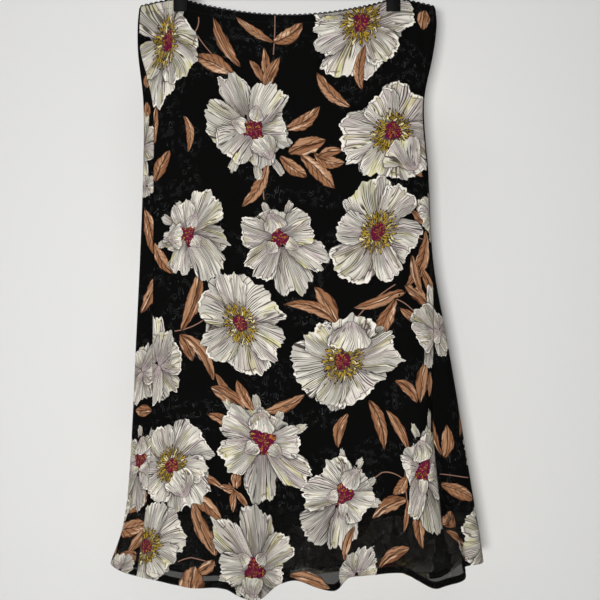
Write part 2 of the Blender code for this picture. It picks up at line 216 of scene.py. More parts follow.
def read(table: Sequence[NamedTuple], column: str, at: Array) -> Array:
    """Read a column of a table between its rows, on a smooth curve.

    Args:
        table: rows whose first column is the place.
        column: name of the column to read.
        at: places to read it at; beyond the table's ends they stay at its ends.

    Returns:
        The column's values there.
    """
    places = np.array([row[0] for row in table], dtype=float)
    values = np.array([getattr(row, column) for row in table], dtype=float)
    last = len(table) - 1
    index = np.arange(last + 1)
    low = np.maximum(index - 1, 0)
    high = np.minimum(index + 1, last)
    slopes = (values[high] - values[low]) / (places[high] - places[low])
    at = np.clip(at, places[0], places[-1])
    row = np.clip(np.searchsorted(places, at, side="right") - 1, 0, last - 1)
    span = places[row + 1] - places[row]
    share = (at - places[row]) / span
    ease = share * share * (3 - 2 * share)
    start = share * (1 - share) ** 2 * span * slopes[row]
    end = share * share * (1 - share) * span * slopes[row + 1]
    return values[row] + (values[row + 1] - values[row]) * ease + start - end


@dataclass(frozen=True)
class SkirtForm:
    """The hanging tube of cloth: the waist edge between the clips, the folds and the hem."""

    clip_x: float = 143 * MM              # each clip's centre, out from the middle
    waist_z: float = -101.7 * MM          # the cloth's top edge at the clips
    waist_sag: float = 23 * MM            # how far the edge sags midway between the clips
    waist_droop: float = 11.5 * MM        # how far its corners droop outside the clips
    waist_corner_x: float = 200 * MM
    side_ease: float = 55 * MM            # distance in from a side over which the depth grows
    wing_ease: float = 12 * MM            # width of the step back to the wing
    pinch: float = 3.5 * MM               # half depth of the two layers between the jaws
    pinch_half_width: float = 20 * MM
    pinch_height: float = 18 * MM
    pinch_reach: float = 24 * MM          # distance over which the cloth opens again
    pinch_edge: float = 14 * MM           # the pinch fades this near to a side

    def waist_height(self, x: Array) -> Array:
        """Find the height of the waist edge.

        Args:
            x: places across.

        Returns:
            Heights there.
        """
        out = np.abs(x)
        sagging = self.waist_z - self.waist_sag * (1 - (out / self.clip_x) ** 2)
        share = np.maximum(out - self.clip_x, 0) / (self.waist_corner_x - self.clip_x)
        return np.where(out <= self.clip_x, sagging, self.waist_z - self.waist_droop * share ** 1.4)

    @staticmethod
    def outline(drop: Array, *columns: str) -> list[Array]:
        """These columns of the sections at given drops, in metres."""
        return [read(SECTIONS, column, drop) * MM for column in columns]

    def across(self, turn: Array, drop: Array) -> Array:
        """Where turns of the tube lie across, at given drops."""
        left, right = self.outline(drop, "left", "right")
        return (left + right) / 2 - (right - left) / 2 * np.cos(turn)

    def hem_height(self, turn: Array) -> Array:
        """Find the height of the hem.

        Args:
            turn: turns round the tube.

        Returns:
            Heights there.
        """
        foot = self.across(turn, np.ones_like(turn)) / MM
        front = read(FRONT_HEM, "height", foot)
        back = read(BACK_HEM, "height", foot)
        return -np.where(np.sin(turn) >= 0, front, back) * MM

    @staticmethod
    def ridge_rise(ridges: Sequence[Ridge], x: Array, drop: Array) -> tuple[Array, Array]:
        """How far the folds stand out, and how far they lean over.

        Args:
            ridges: the folds of one side.
            x: places across.
            drop: drops there.

        Returns:
            Heights and leans.
        """
        height = np.zeros_like(x)
        lean = np.zeros_like(x)
        for ridge in ridges:
            grown = np.maximum(drop - ridge.start, 0) / (1 - ridge.start)
            middle = (ridge.top + (ridge.foot - ridge.top) * grown) * MM
            reach = np.where(x < middle, ridge.left, ridge.right) * MM * (0.7 + 0.3 * grown)
            away = np.minimum(np.abs(x - middle) / reach, 1)
            risen = ridge.depth * MM * smooth(1.15 * grown) * np.cos(away * np.pi / 2) ** 2
            height += risen
            lean += ridge.lean * risen
        return height, lean

    @staticmethod
    def crease_rise(creases: Sequence[Crease], x: Array, drop: Array) -> Array:
        """Find how far the shallow creases stand out.

        Args:
            creases: the creases of one side.
            x: places across.
            drop: drops there.

        Returns:
            Heights, which are below 0 in a hollow.
        """
        height = np.zeros_like(x)
        for crease in creases:
            share = (drop - crease.start) / (crease.end - crease.start)
            middle = (crease.top + (crease.foot - crease.top) * share) * MM
            fade = smooth(share / 0.3) if crease.start > 0.02 else 1.0
            fade = fade * smooth((1 - share) / 0.55)
            away = (x - middle) / (crease.width * MM)
            height += crease.depth * MM * fade * np.exp(-away * away)
        return height

    @staticmethod
    def tuck_windows(tucks: Sequence[Tuck], x: Array, drop: Array) -> list[tuple[Tuck, Array, Array]]:
        """Find where the tucks act.

        Args:
            tucks: the tucks of one side.
            x: places across.
            drop: drops there.

        Returns:
            Each tuck with how far the places lie beyond its edge, outwards, and its strength there.
        """
        found = []
        for tuck in tucks:
            share = (drop - tuck.start) / (tuck.end - tuck.start)
            edge = (tuck.top + (tuck.foot - tuck.top) * share) * MM
            strength = smooth(share / 0.25) * smooth((1 - share) / 0.35)
            if tuck.start < 0:
                strength = smooth((1 - share) / 0.5)
            found.append((tuck, (x - edge) * math.copysign(1, tuck.top), strength))
        return found

    def pinch_share(self, x: Array, below: Array) -> Array:
        """Find how firmly the clips hold the cloth.

        Args:
            x: places across.
            below: how far below the waist edge they lie.

        Returns:
            1 under the clips, falling to 0 where the cloth is free.
        """
        aside = np.maximum(0, np.abs(np.abs(x) - self.clip_x) - self.pinch_half_width)
        under = np.maximum(0, below - self.pinch_height)
        return np.exp(-(aside / self.pinch_reach) ** 2 - (under / self.pinch_reach) ** 2)

    def point(self, turn: Array, drop: Array, ridges: float = 1.0, detail: float = 0.0) -> Array:
        """Find points on the cloth's outer face.

        Args:
            turn: turns round the tube.
            drop: drops from the waist edge; a little above 0 or below 1 stays in line.
            ridges: share of the folds that this layer follows.
            detail: share of the shallow creases and tucks that it follows.

        Returns:
            Points, in a last axis of three.
        """
        turn, drop = np.broadcast_arrays(np.asarray(turn, float), np.asarray(drop, float))
        level = np.clip(drop, 0, 1)
        left, right, front, back, roll, wing, set_back = self.outline(level, *Section._fields[1:])
        x = self.across(turn, level)
        in_front = np.sin(turn) >= 0
        front = front - set_back * smooth(1 - (right - x - wing) / self.wing_ease)
        depth = np.where(in_front, front, back)
        edge = np.maximum(0, np.minimum(x - left, right - x))
        inside = np.minimum(edge / roll, 1)
        y = roll * np.sqrt(1 - (1 - inside) ** 2) + (depth - roll) * smooth(edge / self.side_ease)
        front_rise, front_lean = self.ridge_rise(FRONT_RIDGES, x, level)
        back_rise, back_lean = self.ridge_rise(BACK_RIDGES, x, level)
        y = y + ridges * np.where(in_front, front_rise, back_rise)
        top = self.waist_height(self.across(turn, np.zeros_like(turn)))
        z = top + drop * (self.hem_height(turn) - top)
        pinched = self.pinch_share(x, top - z) * smooth(edge / self.pinch_edge)
        y = y + (self.pinch - y) * pinched
        if detail:
            y = y + detail * self.detail_rise(x, level, in_front) * (1 - pinched) * smooth(edge / (6 * MM))
        x = x + ridges * np.where(in_front, front_lean, back_lean)
        return np.stack([x, np.where(in_front, -y, y), z], axis=-1)

    def detail_rise(self, x: Array, drop: Array, in_front: Array) -> Array:
        """Find how far creases and tucks stand out.

        Args:
            x: places across.
            drop: drops there.
            in_front: whether each place is on the front.

        Returns:
            Heights.
        """
        rises = []
        for creases, tucks in ((FRONT_CREASES, FRONT_TUCKS), (BACK_CREASES, BACK_TUCKS)):
            rise = self.crease_rise(creases, x, drop)
            for tuck, beyond, strength in self.tuck_windows(tucks, x, drop):
                near = np.where(beyond < 0, np.exp(beyond / (7 * MM)), -0.35 * np.exp(-beyond / (5 * MM)))
                rise += tuck.lift * MM * strength * near
            rises.append(rise)
        return np.where(in_front, rises[0], rises[1])

    def normal(self, turn: Array, drop: Array, ridges: float = 1.0, detail: float = 0.0) -> Array:
        """Find the ways out of the tube, from two short steps along it.

        Args:
            turn: turns round the tube.
            drop: drops there.
            ridges: share of the folds that this layer follows.
            detail: share of the shallow creases and tucks that it follows.

        Returns:
            Vectors of length 1.
        """
        step = 0.004
        around = self.point(turn + step, drop, ridges, detail)
        around = around - self.point(turn - step, drop, ridges, detail)
        down = self.point(turn, drop + step, ridges, detail)
        down = down - self.point(turn, drop - step, ridges, detail)
        out = np.cross(down, around)
        return out / np.linalg.norm(out, axis=-1, keepdims=True)

    def inset(self, turn: Array, drop: Array, inset: Array, ridges: float = 1.0,
              detail: float = 0.0) -> Array:
        """Points on the tube moved inwards."""
        normal = self.normal(turn, drop, ridges, detail)
        return self.point(turn, drop, ridges, detail) - normal * np.asarray(inset)[..., None]

    def seam_turn(self, side: str, drop: Array) -> Array:
        """Find where a side seam lies on the front.

        Args:
            side: left or right.
            drop: drops along it.

        Returns:
            Turns round the tube.
        """
        level = np.clip(drop, 0, 1)
        left = read(SECTIONS, "left", level)
        right = read(SECTIONS, "right", level)
        place = read(SEAMS, side, level)
        return np.arccos(((left + right) / 2 - place) / ((right - left) / 2))

    def turn_of_gap(self, turn: Array, drop: Array, gap: float) -> Array:
        """Find the turn that makes a gap of a given width.

        Args:
            turn: turns round the tube.
            drop: drops there.
            gap: its width.

        Returns:
            Turns.
        """
        step = 0.01
        stretch = self.point(turn + step, drop) - self.point(turn - step, drop)
        return gap * 2 * step / np.linalg.norm(stretch, axis=-1)


FORM = SkirtForm()


# Print, laid out on the flat cloth

class BloomKind(IntEnum):
    """How a bloom faces."""

    OPEN = 1                  # towards the viewer, with a ring of stamens
    CUPPED = 2                # turned aside, its middle half hidden by a hood of petals
    BEHIND = 3                # away from the viewer, with no middle showing


class Tone(IntEnum):
    """How a petal or leaf is inked, the whole part of its code."""

    OUTER = 1
    UNDER = 2
    LIP = 3
    BRACT = 4


class Bloom(NamedTuple):
    """One bloom, in millimetres across and below the origin, as the hanging front shows it."""

    x: float
    below: float
    radius: float
    squash: float             # its width as a share of its height
    kind: BloomKind
    turn: float               # degrees, anticlockwise from the right: where its stalk or its lip is
    lip: bool = False         # whether a petal folds over the middle of an open bloom


class Leaf(NamedTuple):
    """One leaf or stem, in millimetres, growing from its base towards its heading in degrees."""

    x: float
    below: float
    heading: float
    length: float
    half_width: float
    bend: float = 0.0         # how far it bows to its left, in half widths
    over: bool = False        # whether it lies over the petals


OPEN, CUPPED, BEHIND = BloomKind.OPEN, BloomKind.CUPPED, BloomKind.BEHIND

BLOOMS = rows(Bloom,
    (197, 395, 44, 0.55, BEHIND, 200), (196, 548, 58, 0.55, BEHIND, 95),
    (-168, 592, 66, 0.52, BEHIND, 150), (88, 868, 36, 0.9, BEHIND, 60), (-157, 158, 88, 0.46, OPEN, 20),
    (100, 133, 74, 0.88, OPEN, 250), (-44, 280, 76, 0.82, CUPPED, -60), (141, 281, 68, 1, OPEN, -65, True),
    (-131, 419, 63, 0.74, CUPPED, 178), (-10, 424, 59, 1, CUPPED, 105), (121, 416, 69, 0.86, OPEN, 100),
    (-62, 537, 66, 0.84, OPEN, 35), (74, 587, 66, 1.04, OPEN, 68, True), (-31, 692, 66, 1.02, CUPPED, 86),
    (-151, 724, 60, 0.86, OPEN, -75, True), (75, 763, 66, 0.84, CUPPED, 38),
    (180, 727, 80, 0.52, CUPPED, 118), (-184, 829, 58, 0.92, OPEN, 15), (-41, 856, 62, 1, CUPPED, -92),
)
LEAVES = rows(Leaf,
    (-62, 195, 122, 76, 7.5, 0.5), (-71, 204, 166, 58, 12.5, -0.2), (-18, 161, 150, 60, 5.5, 0.3),
    (-18, 161, 34, 46, 10, -0.3), (-29, 229, 94, 66, 6, -0.3), (-29, 229, 72, 56, 7.5, 0.4),
    (-33, 215, 121, 36, 5, -0.4), (-176, 297, 85, 50, 4.6, 0.4), (-137, 261, -85, 50, 4.8, 1.2),
    (-176, 348, 58, 42, 8.5, 0.2), (84, 249, 132, 70, 7.2, 0.6), (100, 226, 88, 60, 7, 0.8, True),
    (-4, 278, 32, 58, 8, -0.6), (2, 310, 18, 54, 10.5, 0.2), (-9, 315, -35, 43, 8.5, -0.2),
    (18, 313, -46, 65, 9.5, 0.2), (36, 312, -20, 44, 7.5, -0.5), (41, 315, 8, 34, 6, 0.4),
    (182, 143, 80, 28, 8, 0.2), (152, 325, 43, 48, 7.5, -0.3), (152, 325, -16, 32, 6, 0.3),
    (-25, 321, -118, 78, 6.8, 0.8), (-176, 430, -62, 54, 6.4, -0.5), (-140, 547, 68, 84, 9.2, -0.6),
    (-141, 551, -68, 42, 8, 0.3), (-140, 551, -57, 76, 7, 1.1), (-68, 642, 127, 40, 5.5, 0.2),
    (-54, 653, 157, 50, 10.5, -0.3), (-43, 653, 120, 42, 7.5, 0.3), (-31, 654, 24, 64, 6.6, -0.4),
    (-62, 681, 164, 44, 7.2, -0.5), (67, 539, 117, 62, 9.6, -0.3), (67, 540, 157, 78, 7.4, -1.6),
    (158, 495, 187, 72, 7.6, 0.5), (145, 505, -117, 72, 9.8, -0.3), (156, 487, -28, 42, 8.6, 0.3),
    (186, 413, -111, 88, 7, 1.2), (167, 446, -77, 48, 5.5, -0.4), (187, 407, 108, 36, 6, 0.3),
    (187, 407, 143, 27, 5.3, 0.2), (180, 462, -73, 43, 6, 0.4), (187, 538, 163, 40, 6.6, 0.4),
    (186, 587, -104, 58, 8, -0.3), (190, 601, -95, 34, 4.2, 0.2), (143, 612, -38, 36, 7.3, 0.7),
    (81, 656, -112, 46, 8, -0.7), (108, 638, -76, 72, 7, 0.6, True), (159, 702, 122, 54, 6.6, -0.5),
    (158, 738, -126, 34, 6.6, 0.3), (158, 768, -151, 52, 8.6, -0.2), (159, 767, -91, 46, 3.4, 0.3),
    (175, 767, -84, 64, 8.4, -0.4), (121, 857, 36, 48, 7.6, 0.3), (76, 849, 77, 44, 7, 0.5, True),
    (4, 867, -18, 60, 7.8, 0.3), (-136, 759, 9, 62, 6, 2.2), (-132, 760, -36, 55, 9, 0.4),
    (-68, 756, 67, 30, 6.6, 0.3), (-68, 756, 183, 20, 5.3, 0), (-68, 756, -103, 30, 4.6, -0.3),
    (-68, 756, -42, 25, 4.6, 0.2), (-94, 843, 111, 70, 8.8, 0.5), (-94, 843, 99, 32, 4.2, -0.3),
    (-95, 849, -136, 30, 7.3, 0.2), (-128, 898, 84, 46, 15, 0), (30, 888, -30, 40, 7, 0.3),
)
STEMS = rows(Leaf,
    (-70, 202, 139, 78, 0.9, 5), (-18, 178, 90, 56, 0.8, 0), (-124, 147, 80, 24, 0.9, -2),
    (-24, 321, -98, 54, 0.9, -4), (80, 548, 36, 84, 1, 7), (-148, 547, 13, 46, 0.9, -5),
    (110, 745, 5, 44, 0.9, 8), (-143, 850, 2, 52, 0.8, 6), (138, 430, 5, 48, 0.7, 4),
    (158, 768, 92, 44, 0.8, 2), (-60, 760, 150, 20, 0.9, 2), (145, 505, -30, 34, 0.9, 3),
    (-180, 445, 14, 22, 0.7, 2),
)
SIDE_BLOOMS = rows(Bloom,
    (-196, 300, 46, 0.5, BEHIND, 80), (-190, 352, 17, 1, BEHIND, 30), (-194, 600, 44, 0.62, BEHIND, 150),
    (-197, 718, 58, 0.62, CUPPED, 100), (-226, 864, 22, 1, BEHIND, 20), (204, 548, 36, 0.5, BEHIND, 95),
    (237, 836, 15, 0.7, BEHIND, 0),
)
SIDE_LEAVES = rows(Leaf,
    (-187, 222, 80, 18, 4, 0.2), (-186, 263, 95, 24, 5.5, 0.2), (-191, 383, -72, 66, 8, 0.3),
    (-196, 522, 72, 60, 9, -0.3), (-178, 652, 178, 28, 7, 0), (-212, 842, 68, 42, 8, 0.3),
    (-200, 850, 165, 28, 7, -0.3), (208, 712, 84, 88, 6, 0.8), (211, 715, 64, 48, 7, -0.3),
    (204, 748, -40, 52, 9, 0.4), (204, 800, 30, 30, 9, -0.4), (208, 806, -65, 60, 9, 0.3),
    (236, 838, -20, 26, 6, 0.2),
)
SIDE_STEMS = rows(Leaf,
    (-194, 335, -66, 62, 0.9, 8), (-200, 640, 75, 34, 0.9, 2), (203, 735, -20, 42, 0.8, 3),
)
BACK_BLOOMS = rows(Bloom,
    (-134, 130, 62, 0.9, OPEN, 40), (150, 385, 64, 0.9, CUPPED, 60), (108, 700, 46, 0.95, OPEN, -30),
    (-38, 742, 48, 0.9, BEHIND, 80),
)
BACK_LEAVES = rows(Leaf,
    (-80, 150, -30, 62, 8, 0.3), (-165, 190, -100, 56, 8, 0.3), (-150, 72, 70, 48, 7, -0.3),
    (40, 110, 52, 62, 8, 0.3), (36, 112, 118, 54, 7, -0.3), (40, 112, -80, 40, 6, 0.2),
    (96, 420, -160, 60, 8, 0.3), (190, 340, 75, 56, 7, -0.3), (58, 690, 150, 60, 8, 0.3),
    (60, 740, -150, 52, 8, 0.2), (-70, 270, 140, 52, 7, 0.4), (10, 420, -60, 50, 7, 0.3),
)
BACK_SHIFTS = ((-0.205, 0.31), (0.265, 0.52))     # where the layout repeats on the back, flat
REPEAT = 0.82                 # the repeat's height, along the cloth
BLOOM_ROOM = 0.072            # what a bloom needs between it and a panel's edge
LEAF_ROOM = 0.040


class Drawing(NamedTuple):
    """The motifs of a stretch of cloth."""

    blooms: tuple[Bloom, ...]
    leaves: tuple[Leaf, ...]
    stems: tuple[Leaf, ...]


HANGING_PRINT = Drawing(BLOOMS, LEAVES, STEMS)                  # on the front panel
SIDE_PRINT = Drawing(SIDE_BLOOMS, SIDE_LEAVES, SIDE_STEMS)      # on the back panel, beside its seams
BACK_PRINT = Drawing(BACK_BLOOMS, BACK_LEAVES, ())              # on the flat back, down from its edge


@dataclass
class Motifs:
    """Petals, leaves or stems, each along its own axis on the flat cloth.

    A row holds where the motif starts and ends, half of its greatest width, how far its middle bows
    to its left (in half widths), its code (its tone, plus a seed under 1) and its rank (the highest
    is on top). A place is told by how far along the motif it lies (0 at its base, 1 at its tip) and
    how far aside, in half widths. The shape within those is left to the ink.
    """

    rows: list[tuple[float, ...]] = field(default_factory=list)

    def add(self, base: Array, tip: Array, half_width: float, bend: float, code: float, rank: float) -> None:
        """Add one motif's row."""
        self.rows.append((*base, *tip, half_width, bend, code, rank))

    def by_rank(self) -> Array:
        """The motifs as rows of an array, the topmost first."""
        table = np.array(self.rows)
        return table[np.argsort(-table[:, 7], kind="stable")]

    @staticmethod
    def local(rows: Array, u: Array, v: Array) -> tuple[Array, Array]:
        """How far along and aside of its motif each place lies.

        Args:
            rows: one row of the table, or one for each place.
            u: places across the flat cloth.
            v: places down it.

        Returns:
            Shares along, and distances aside in half widths.
        """
        along_u = rows[..., 2] - rows[..., 0]
        along_v = rows[..., 3] - rows[..., 1]
        length = np.hypot(along_u, along_v)
        out_u = u - rows[..., 0]
        out_v = v - rows[..., 1]
        along = (out_u * along_u + out_v * along_v) / length ** 2
        aside = (out_u * along_v - out_v * along_u) / length / rows[..., 4]
        return along, aside - rows[..., 5] * 4 * along * (1 - along)


@dataclass
class PlacedBloom:
    """A bloom at its place on the flat cloth, which adds its petals and its heart to a layout."""

    layout: "PrintLayout"
    centre: Array
    bloom: Bloom
    rank: float               # what lies over what; the highest is on top

    def petal(self, away: float, start: float, reach: float, half: float, tone: Tone,
              layer: float) -> None:
        """Add one petal.

        Args:
            away: degrees from the bloom's own turn, anticlockwise.
            start: how far out the petal starts, in the bloom's radius.
            reach: how far out it ends; less than start for a petal that folds inwards.
            half: half of its width, in the bloom's radius.
            tone: its ink.
            layer: its place among the bloom's petals, the highest on top.
        """
        angle = math.radians(self.bloom.turn + away)
        radius = self.bloom.radius * MM
        squash = self.bloom.squash
        way = np.array([math.cos(angle) * squash, -math.sin(angle)]) * radius
        across = math.hypot(math.sin(angle) * squash, math.cos(angle))
        bend = self.layout.chance.uniform(-0.16, 0.16)
        code = tone + (self.layout.chance.integers(2, 62) + 0.5) / 64
        self.layout.petals.add(self.centre + way * start, self.centre + way * reach,
                               radius * half * across, bend, code, self.rank + layer)

    def middle(self) -> None:
        """Short petals under the bloom's middle, so that no ground shows between the others' bases."""
        for away in (0, 120, 240):
            self.petal(away, -0.16, 0.50, 0.30, Tone.UNDER, 0.05)

    def open_petals(self) -> None:
        """Broad and narrow petals with gaps, over a few ragged ones, round an open middle."""
        draw = self.layout.chance.uniform
        self.middle()
        for i in range(3):
            self.petal(60 + 120 * i + draw(-20, 20), 0.10, draw(0.78, 0.98), 0.36, Tone.UNDER, 0.1)
        for i, half in enumerate((0.58, 0.36, 0.56, 0.34, 0.52, 0.40)):
            self.petal(60 * i + draw(-9, 9), 0.05, draw(0.86, 1.14), half + draw(-0.03, 0.03),
                       Tone.OUTER, 0.2 + 0.1 * (i % 2) + 0.01 * i)
        if self.bloom.lip:
            self.petal(6, 0.82, 0.22, 0.42, Tone.LIP, 0.6)

    def cupped_petals(self) -> None:
        """Long petals away from the stalk, and small ones that hood the heart."""
        draw = self.layout.chance.uniform
        self.middle()
        for away in (-62, -30, 12, 50):
            self.petal(away + draw(-5, 5), 0.42, draw(0.74, 1.0), 0.085, Tone.BRACT, 0.001 * (away + 70))
        for i in range(7):
            away = 26 + 51.4 * i + draw(-8, 8)
            reach = 0.88 - 0.32 * math.cos(math.radians(away)) + draw(-0.10, 0.10)
            tone = Tone.OUTER if i % 3 else Tone.UNDER
            self.petal(away, 0.03, reach, draw(0.30, 0.46), tone, 0.15 + 0.08 * (i % 3) + 0.01 * i)
        for away, start, half in ((8, 0.58, 0.26), (136, 0.46, 0.15), (-128, 0.48, 0.15)):
            self.petal(away + draw(-8, 8), start, 0.17, half, Tone.LIP, 0.6 + 0.0005 * (away + 130))

    def back_petals(self) -> None:
        """Petals seen from behind, which meet at the stalk."""
        draw = self.layout.chance.uniform
        for i in range(7):
            tone = Tone.UNDER if i % 2 else Tone.OUTER
            self.petal(52 * i + draw(-8, 8), 0.0, draw(0.8, 1.06), draw(0.32, 0.42), tone, 0.1 * (i % 3))

    def heart(self, size: float) -> None:
        """Add the bloom's heart.

        Args:
            size: its radius as a share of the bloom's.
        """
        bloom = self.bloom
        code = bloom.kind + 0.05 + 0.9 * self.layout.chance.random()
        self.layout.hearts.append((*self.centre, bloom.radius * MM * size, max(bloom.squash, 0.6),
                                   math.radians(bloom.turn), code, self.rank + 0.55))

    def add(self) -> None:
        """Add the petals of the bloom's kind, and its heart where one shows."""
        if self.bloom.kind is OPEN:
            self.open_petals()
            self.heart(0.40)
        elif self.bloom.kind is CUPPED:
            self.cupped_petals()
            self.heart(0.28)
        else:
            self.back_petals()


@dataclass
class PrintLayout:
    """Every bloom, leaf and stem of one panel, on its flat cloth."""

    seed: int
    petals: Motifs = field(default_factory=Motifs)
    over: Motifs = field(default_factory=Motifs)
    under: Motifs = field(default_factory=Motifs)
    stems: Motifs = field(default_factory=Motifs)
    hearts: list[tuple[float, ...]] = field(default_factory=list)

    def __post_init__(self) -> None:
        """Start the draws of chance for the petals."""
        self.chance = np.random.default_rng(self.seed)

    def leaf(self, base: Array, leaf: Leaf, kind: Motifs, rank: float) -> None:
        """Add a leaf or a stem.

        Args:
            base: where it starts on the flat cloth.
            leaf: the leaf or stem.
            kind: the motifs that it joins.
            rank: what lies over what; the highest is on top.
        """
        angle = math.radians(leaf.heading)
        way = np.array([math.cos(angle), -math.sin(angle)]) * leaf.length * MM
        code = 1.05 + 0.9 * self.chance.random()
        broad = 1.15 if leaf.half_width > 2 else 1.0
        kind.add(base, base + way, leaf.half_width * MM * broad, leaf.bend, code, rank)

    def place_all(self, drawing: Drawing, flat_of: Callable[[float, float], tuple[float, float]],
                  rank: int, shift: tuple[float, float] = (0.0, 0.0),
                  kept: Callable[[Array, float], bool] = lambda place, margin: True) -> None:
        """Lay out a drawing.

        Args:
            drawing: its motifs.
            flat_of: gives the flat place of a place on the hanging front.
            rank: added to the ranks of its motifs.
            shift: how far it is moved, across and down the flat cloth.
            kept: tells whether to keep a motif at a flat place that needs this much room.
        """

        def moved(motif: Bloom | Leaf) -> Array:
            """Find where a motif goes.

            Args:
                motif: a bloom, leaf or stem.

            Returns:
                Its flat place.
            """
            u, v = flat_of(motif.x * MM, -motif.below * MM)
            v = v + shift[1]
            if shift[1] and v > REPEAT:
                v -= REPEAT
            return np.array([u + shift[0], v])

        for i, bloom in enumerate(drawing.blooms):
            place = moved(bloom)
            if kept(place, BLOOM_ROOM):
                PlacedBloom(self, place, bloom, i + rank).add()
        for motifs, leaves in ((None, drawing.leaves), (self.stems, drawing.stems)):
            for i, leaf in enumerate(leaves):
                place = moved(leaf)
                if kept(place, LEAF_ROOM):
                    kind = motifs or (self.over if leaf.over else self.under)
                    self.leaf(place, leaf, kind, i + rank)


@dataclass
class InkPlot:
    """Tells each face of a sheet's mesh which motifs it shows, and where in them it lies."""

    mesh: Mesh
    u: Array                              # its vertices' places across the flat cloth
    v: Array                              # their places down it
    corners: Array                        # the four vertices of each face
    petal_layers: int = 4
    reach: float = 2.3 * MM               # how far outside its outline a motif is kept

    def store(self, name: str, values: Array) -> None:
        """Keep three numbers for each corner of the mesh."""
        made = self.mesh.attributes.new(name, "FLOAT_VECTOR", "CORNER")
        made.data.foreach_set("vector", values.astype(np.float32).ravel())

    def hits(self, row: Array, fullness: float) -> Array:
        """Find the faces that a motif may show on.

        Args:
            row: the motif's row.
            fullness: its greatest width, in half widths.

        Returns:
            Whether it may show, for each face.
        """
        along, aside = Motifs.local(row, self.u, self.v)
        inside = np.clip(along, 0, 1)
        width = fullness * inside ** 0.6 * np.sqrt(1 - inside ** 4) + 0.12 + self.reach / row[4]
        near = (along > -0.08) & (along < 1.16) & (np.abs(aside) < np.maximum(width, 0.4))
        return near[self.corners].any(axis=1)

    def plot(self, motifs: Motifs, names: Sequence[str], fullness: float) -> tuple[Array, Array]:
        """Write the topmost motifs of each face: its corners' places in them, and their codes.

        Args:
            motifs: what to pick from.
            names: an attribute for each layer, the topmost first.
            fullness: their greatest width, in half widths.

        Returns:
            The motifs' ranks, and for each layer the picked motif of each face, or -1.
        """
        rows = motifs.by_rank()
        picked = np.full((len(names), len(self.corners)), -1)
        used = np.zeros(len(self.corners), dtype=int)
        for index, row in enumerate(rows):
            faces = np.flatnonzero(self.hits(row, fullness) & (used < len(names)))
            picked[used[faces], faces] = index
            used[faces] += 1
        for name, layer in zip(names, picked):
            row = rows[np.maximum(layer, 0)][:, None, :]
            along, aside = Motifs.local(row, self.u[self.corners], self.v[self.corners])
            found = np.stack([along, aside, np.broadcast_to(row[..., 6], along.shape)], axis=-1)
            self.store(name, np.where((layer >= 0)[:, None, None], found, (-1.0, 0.0, 0.0)))
        return rows[:, 7], picked

    def plot_hearts(self, hearts: list[tuple[float, ...]], ranks: Array, picked: Array) -> None:
        """Write each face's place in the nearest bloom's heart, and how many petals lie over it.

        Args:
            hearts: the layout's hearts.
            ranks: the petals' ranks.
            picked: for each layer of petals, the one on each face, or -1.
        """
        corner_u = self.u[self.corners]
        corner_v = self.v[self.corners]
        values = np.zeros((*self.corners.shape, 3))
        values[..., 0] = 9.0              # far outside every heart
        for heart_u, heart_v, radius, squash, turn, code, rank in hearts:
            out_u = (corner_u - heart_u) / (radius * squash)
            out_v = -(corner_v - heart_v) / radius
            near = np.hypot(out_u, out_v).min(axis=1) < 1.3
            above = ((picked >= 0) & (ranks[np.maximum(picked, 0)] > rank)).sum(axis=0)
            x = out_u * math.cos(turn) + out_v * math.sin(turn)
            y = -out_u * math.sin(turn) + out_v * math.cos(turn)
            place = np.stack([x, y, np.broadcast_to((code + 4 * above[:, None]), x.shape)], axis=-1)
            values[near] = place[near]
        self.store("heart", values)

    def plot_all(self, layout: PrintLayout) -> None:
        """Write a panel's whole print to the mesh's corners.

        Args:
            layout: the panel's print.
        """
        names = [f"petal_{layer + 1}" for layer in range(self.petal_layers)]
        ranks, picked = self.plot(layout.petals, names, 1.6)
        self.plot(layout.over, ("leaf_over",), 1.15)
        self.plot(layout.under, ("leaf_1", "leaf_2"), 1.15)
        self.plot(layout.stems, ("stem",), 1.15)
        self.plot_hearts(layout.hearts, ranks, picked)


# Nodes

def maths_of(operation: str) -> Callable[..., "Wire"]:
    """A method of a wire that makes a Math node of this operation.

    Args:
        operation: the Math node's operation.

    Returns:
        The method.
    """

    def method(wire: "Wire", *others: Feed) -> "Wire":
        """Make the node, of the wire and the others."""
        return wire.maths(operation, wire, *others)

    return method


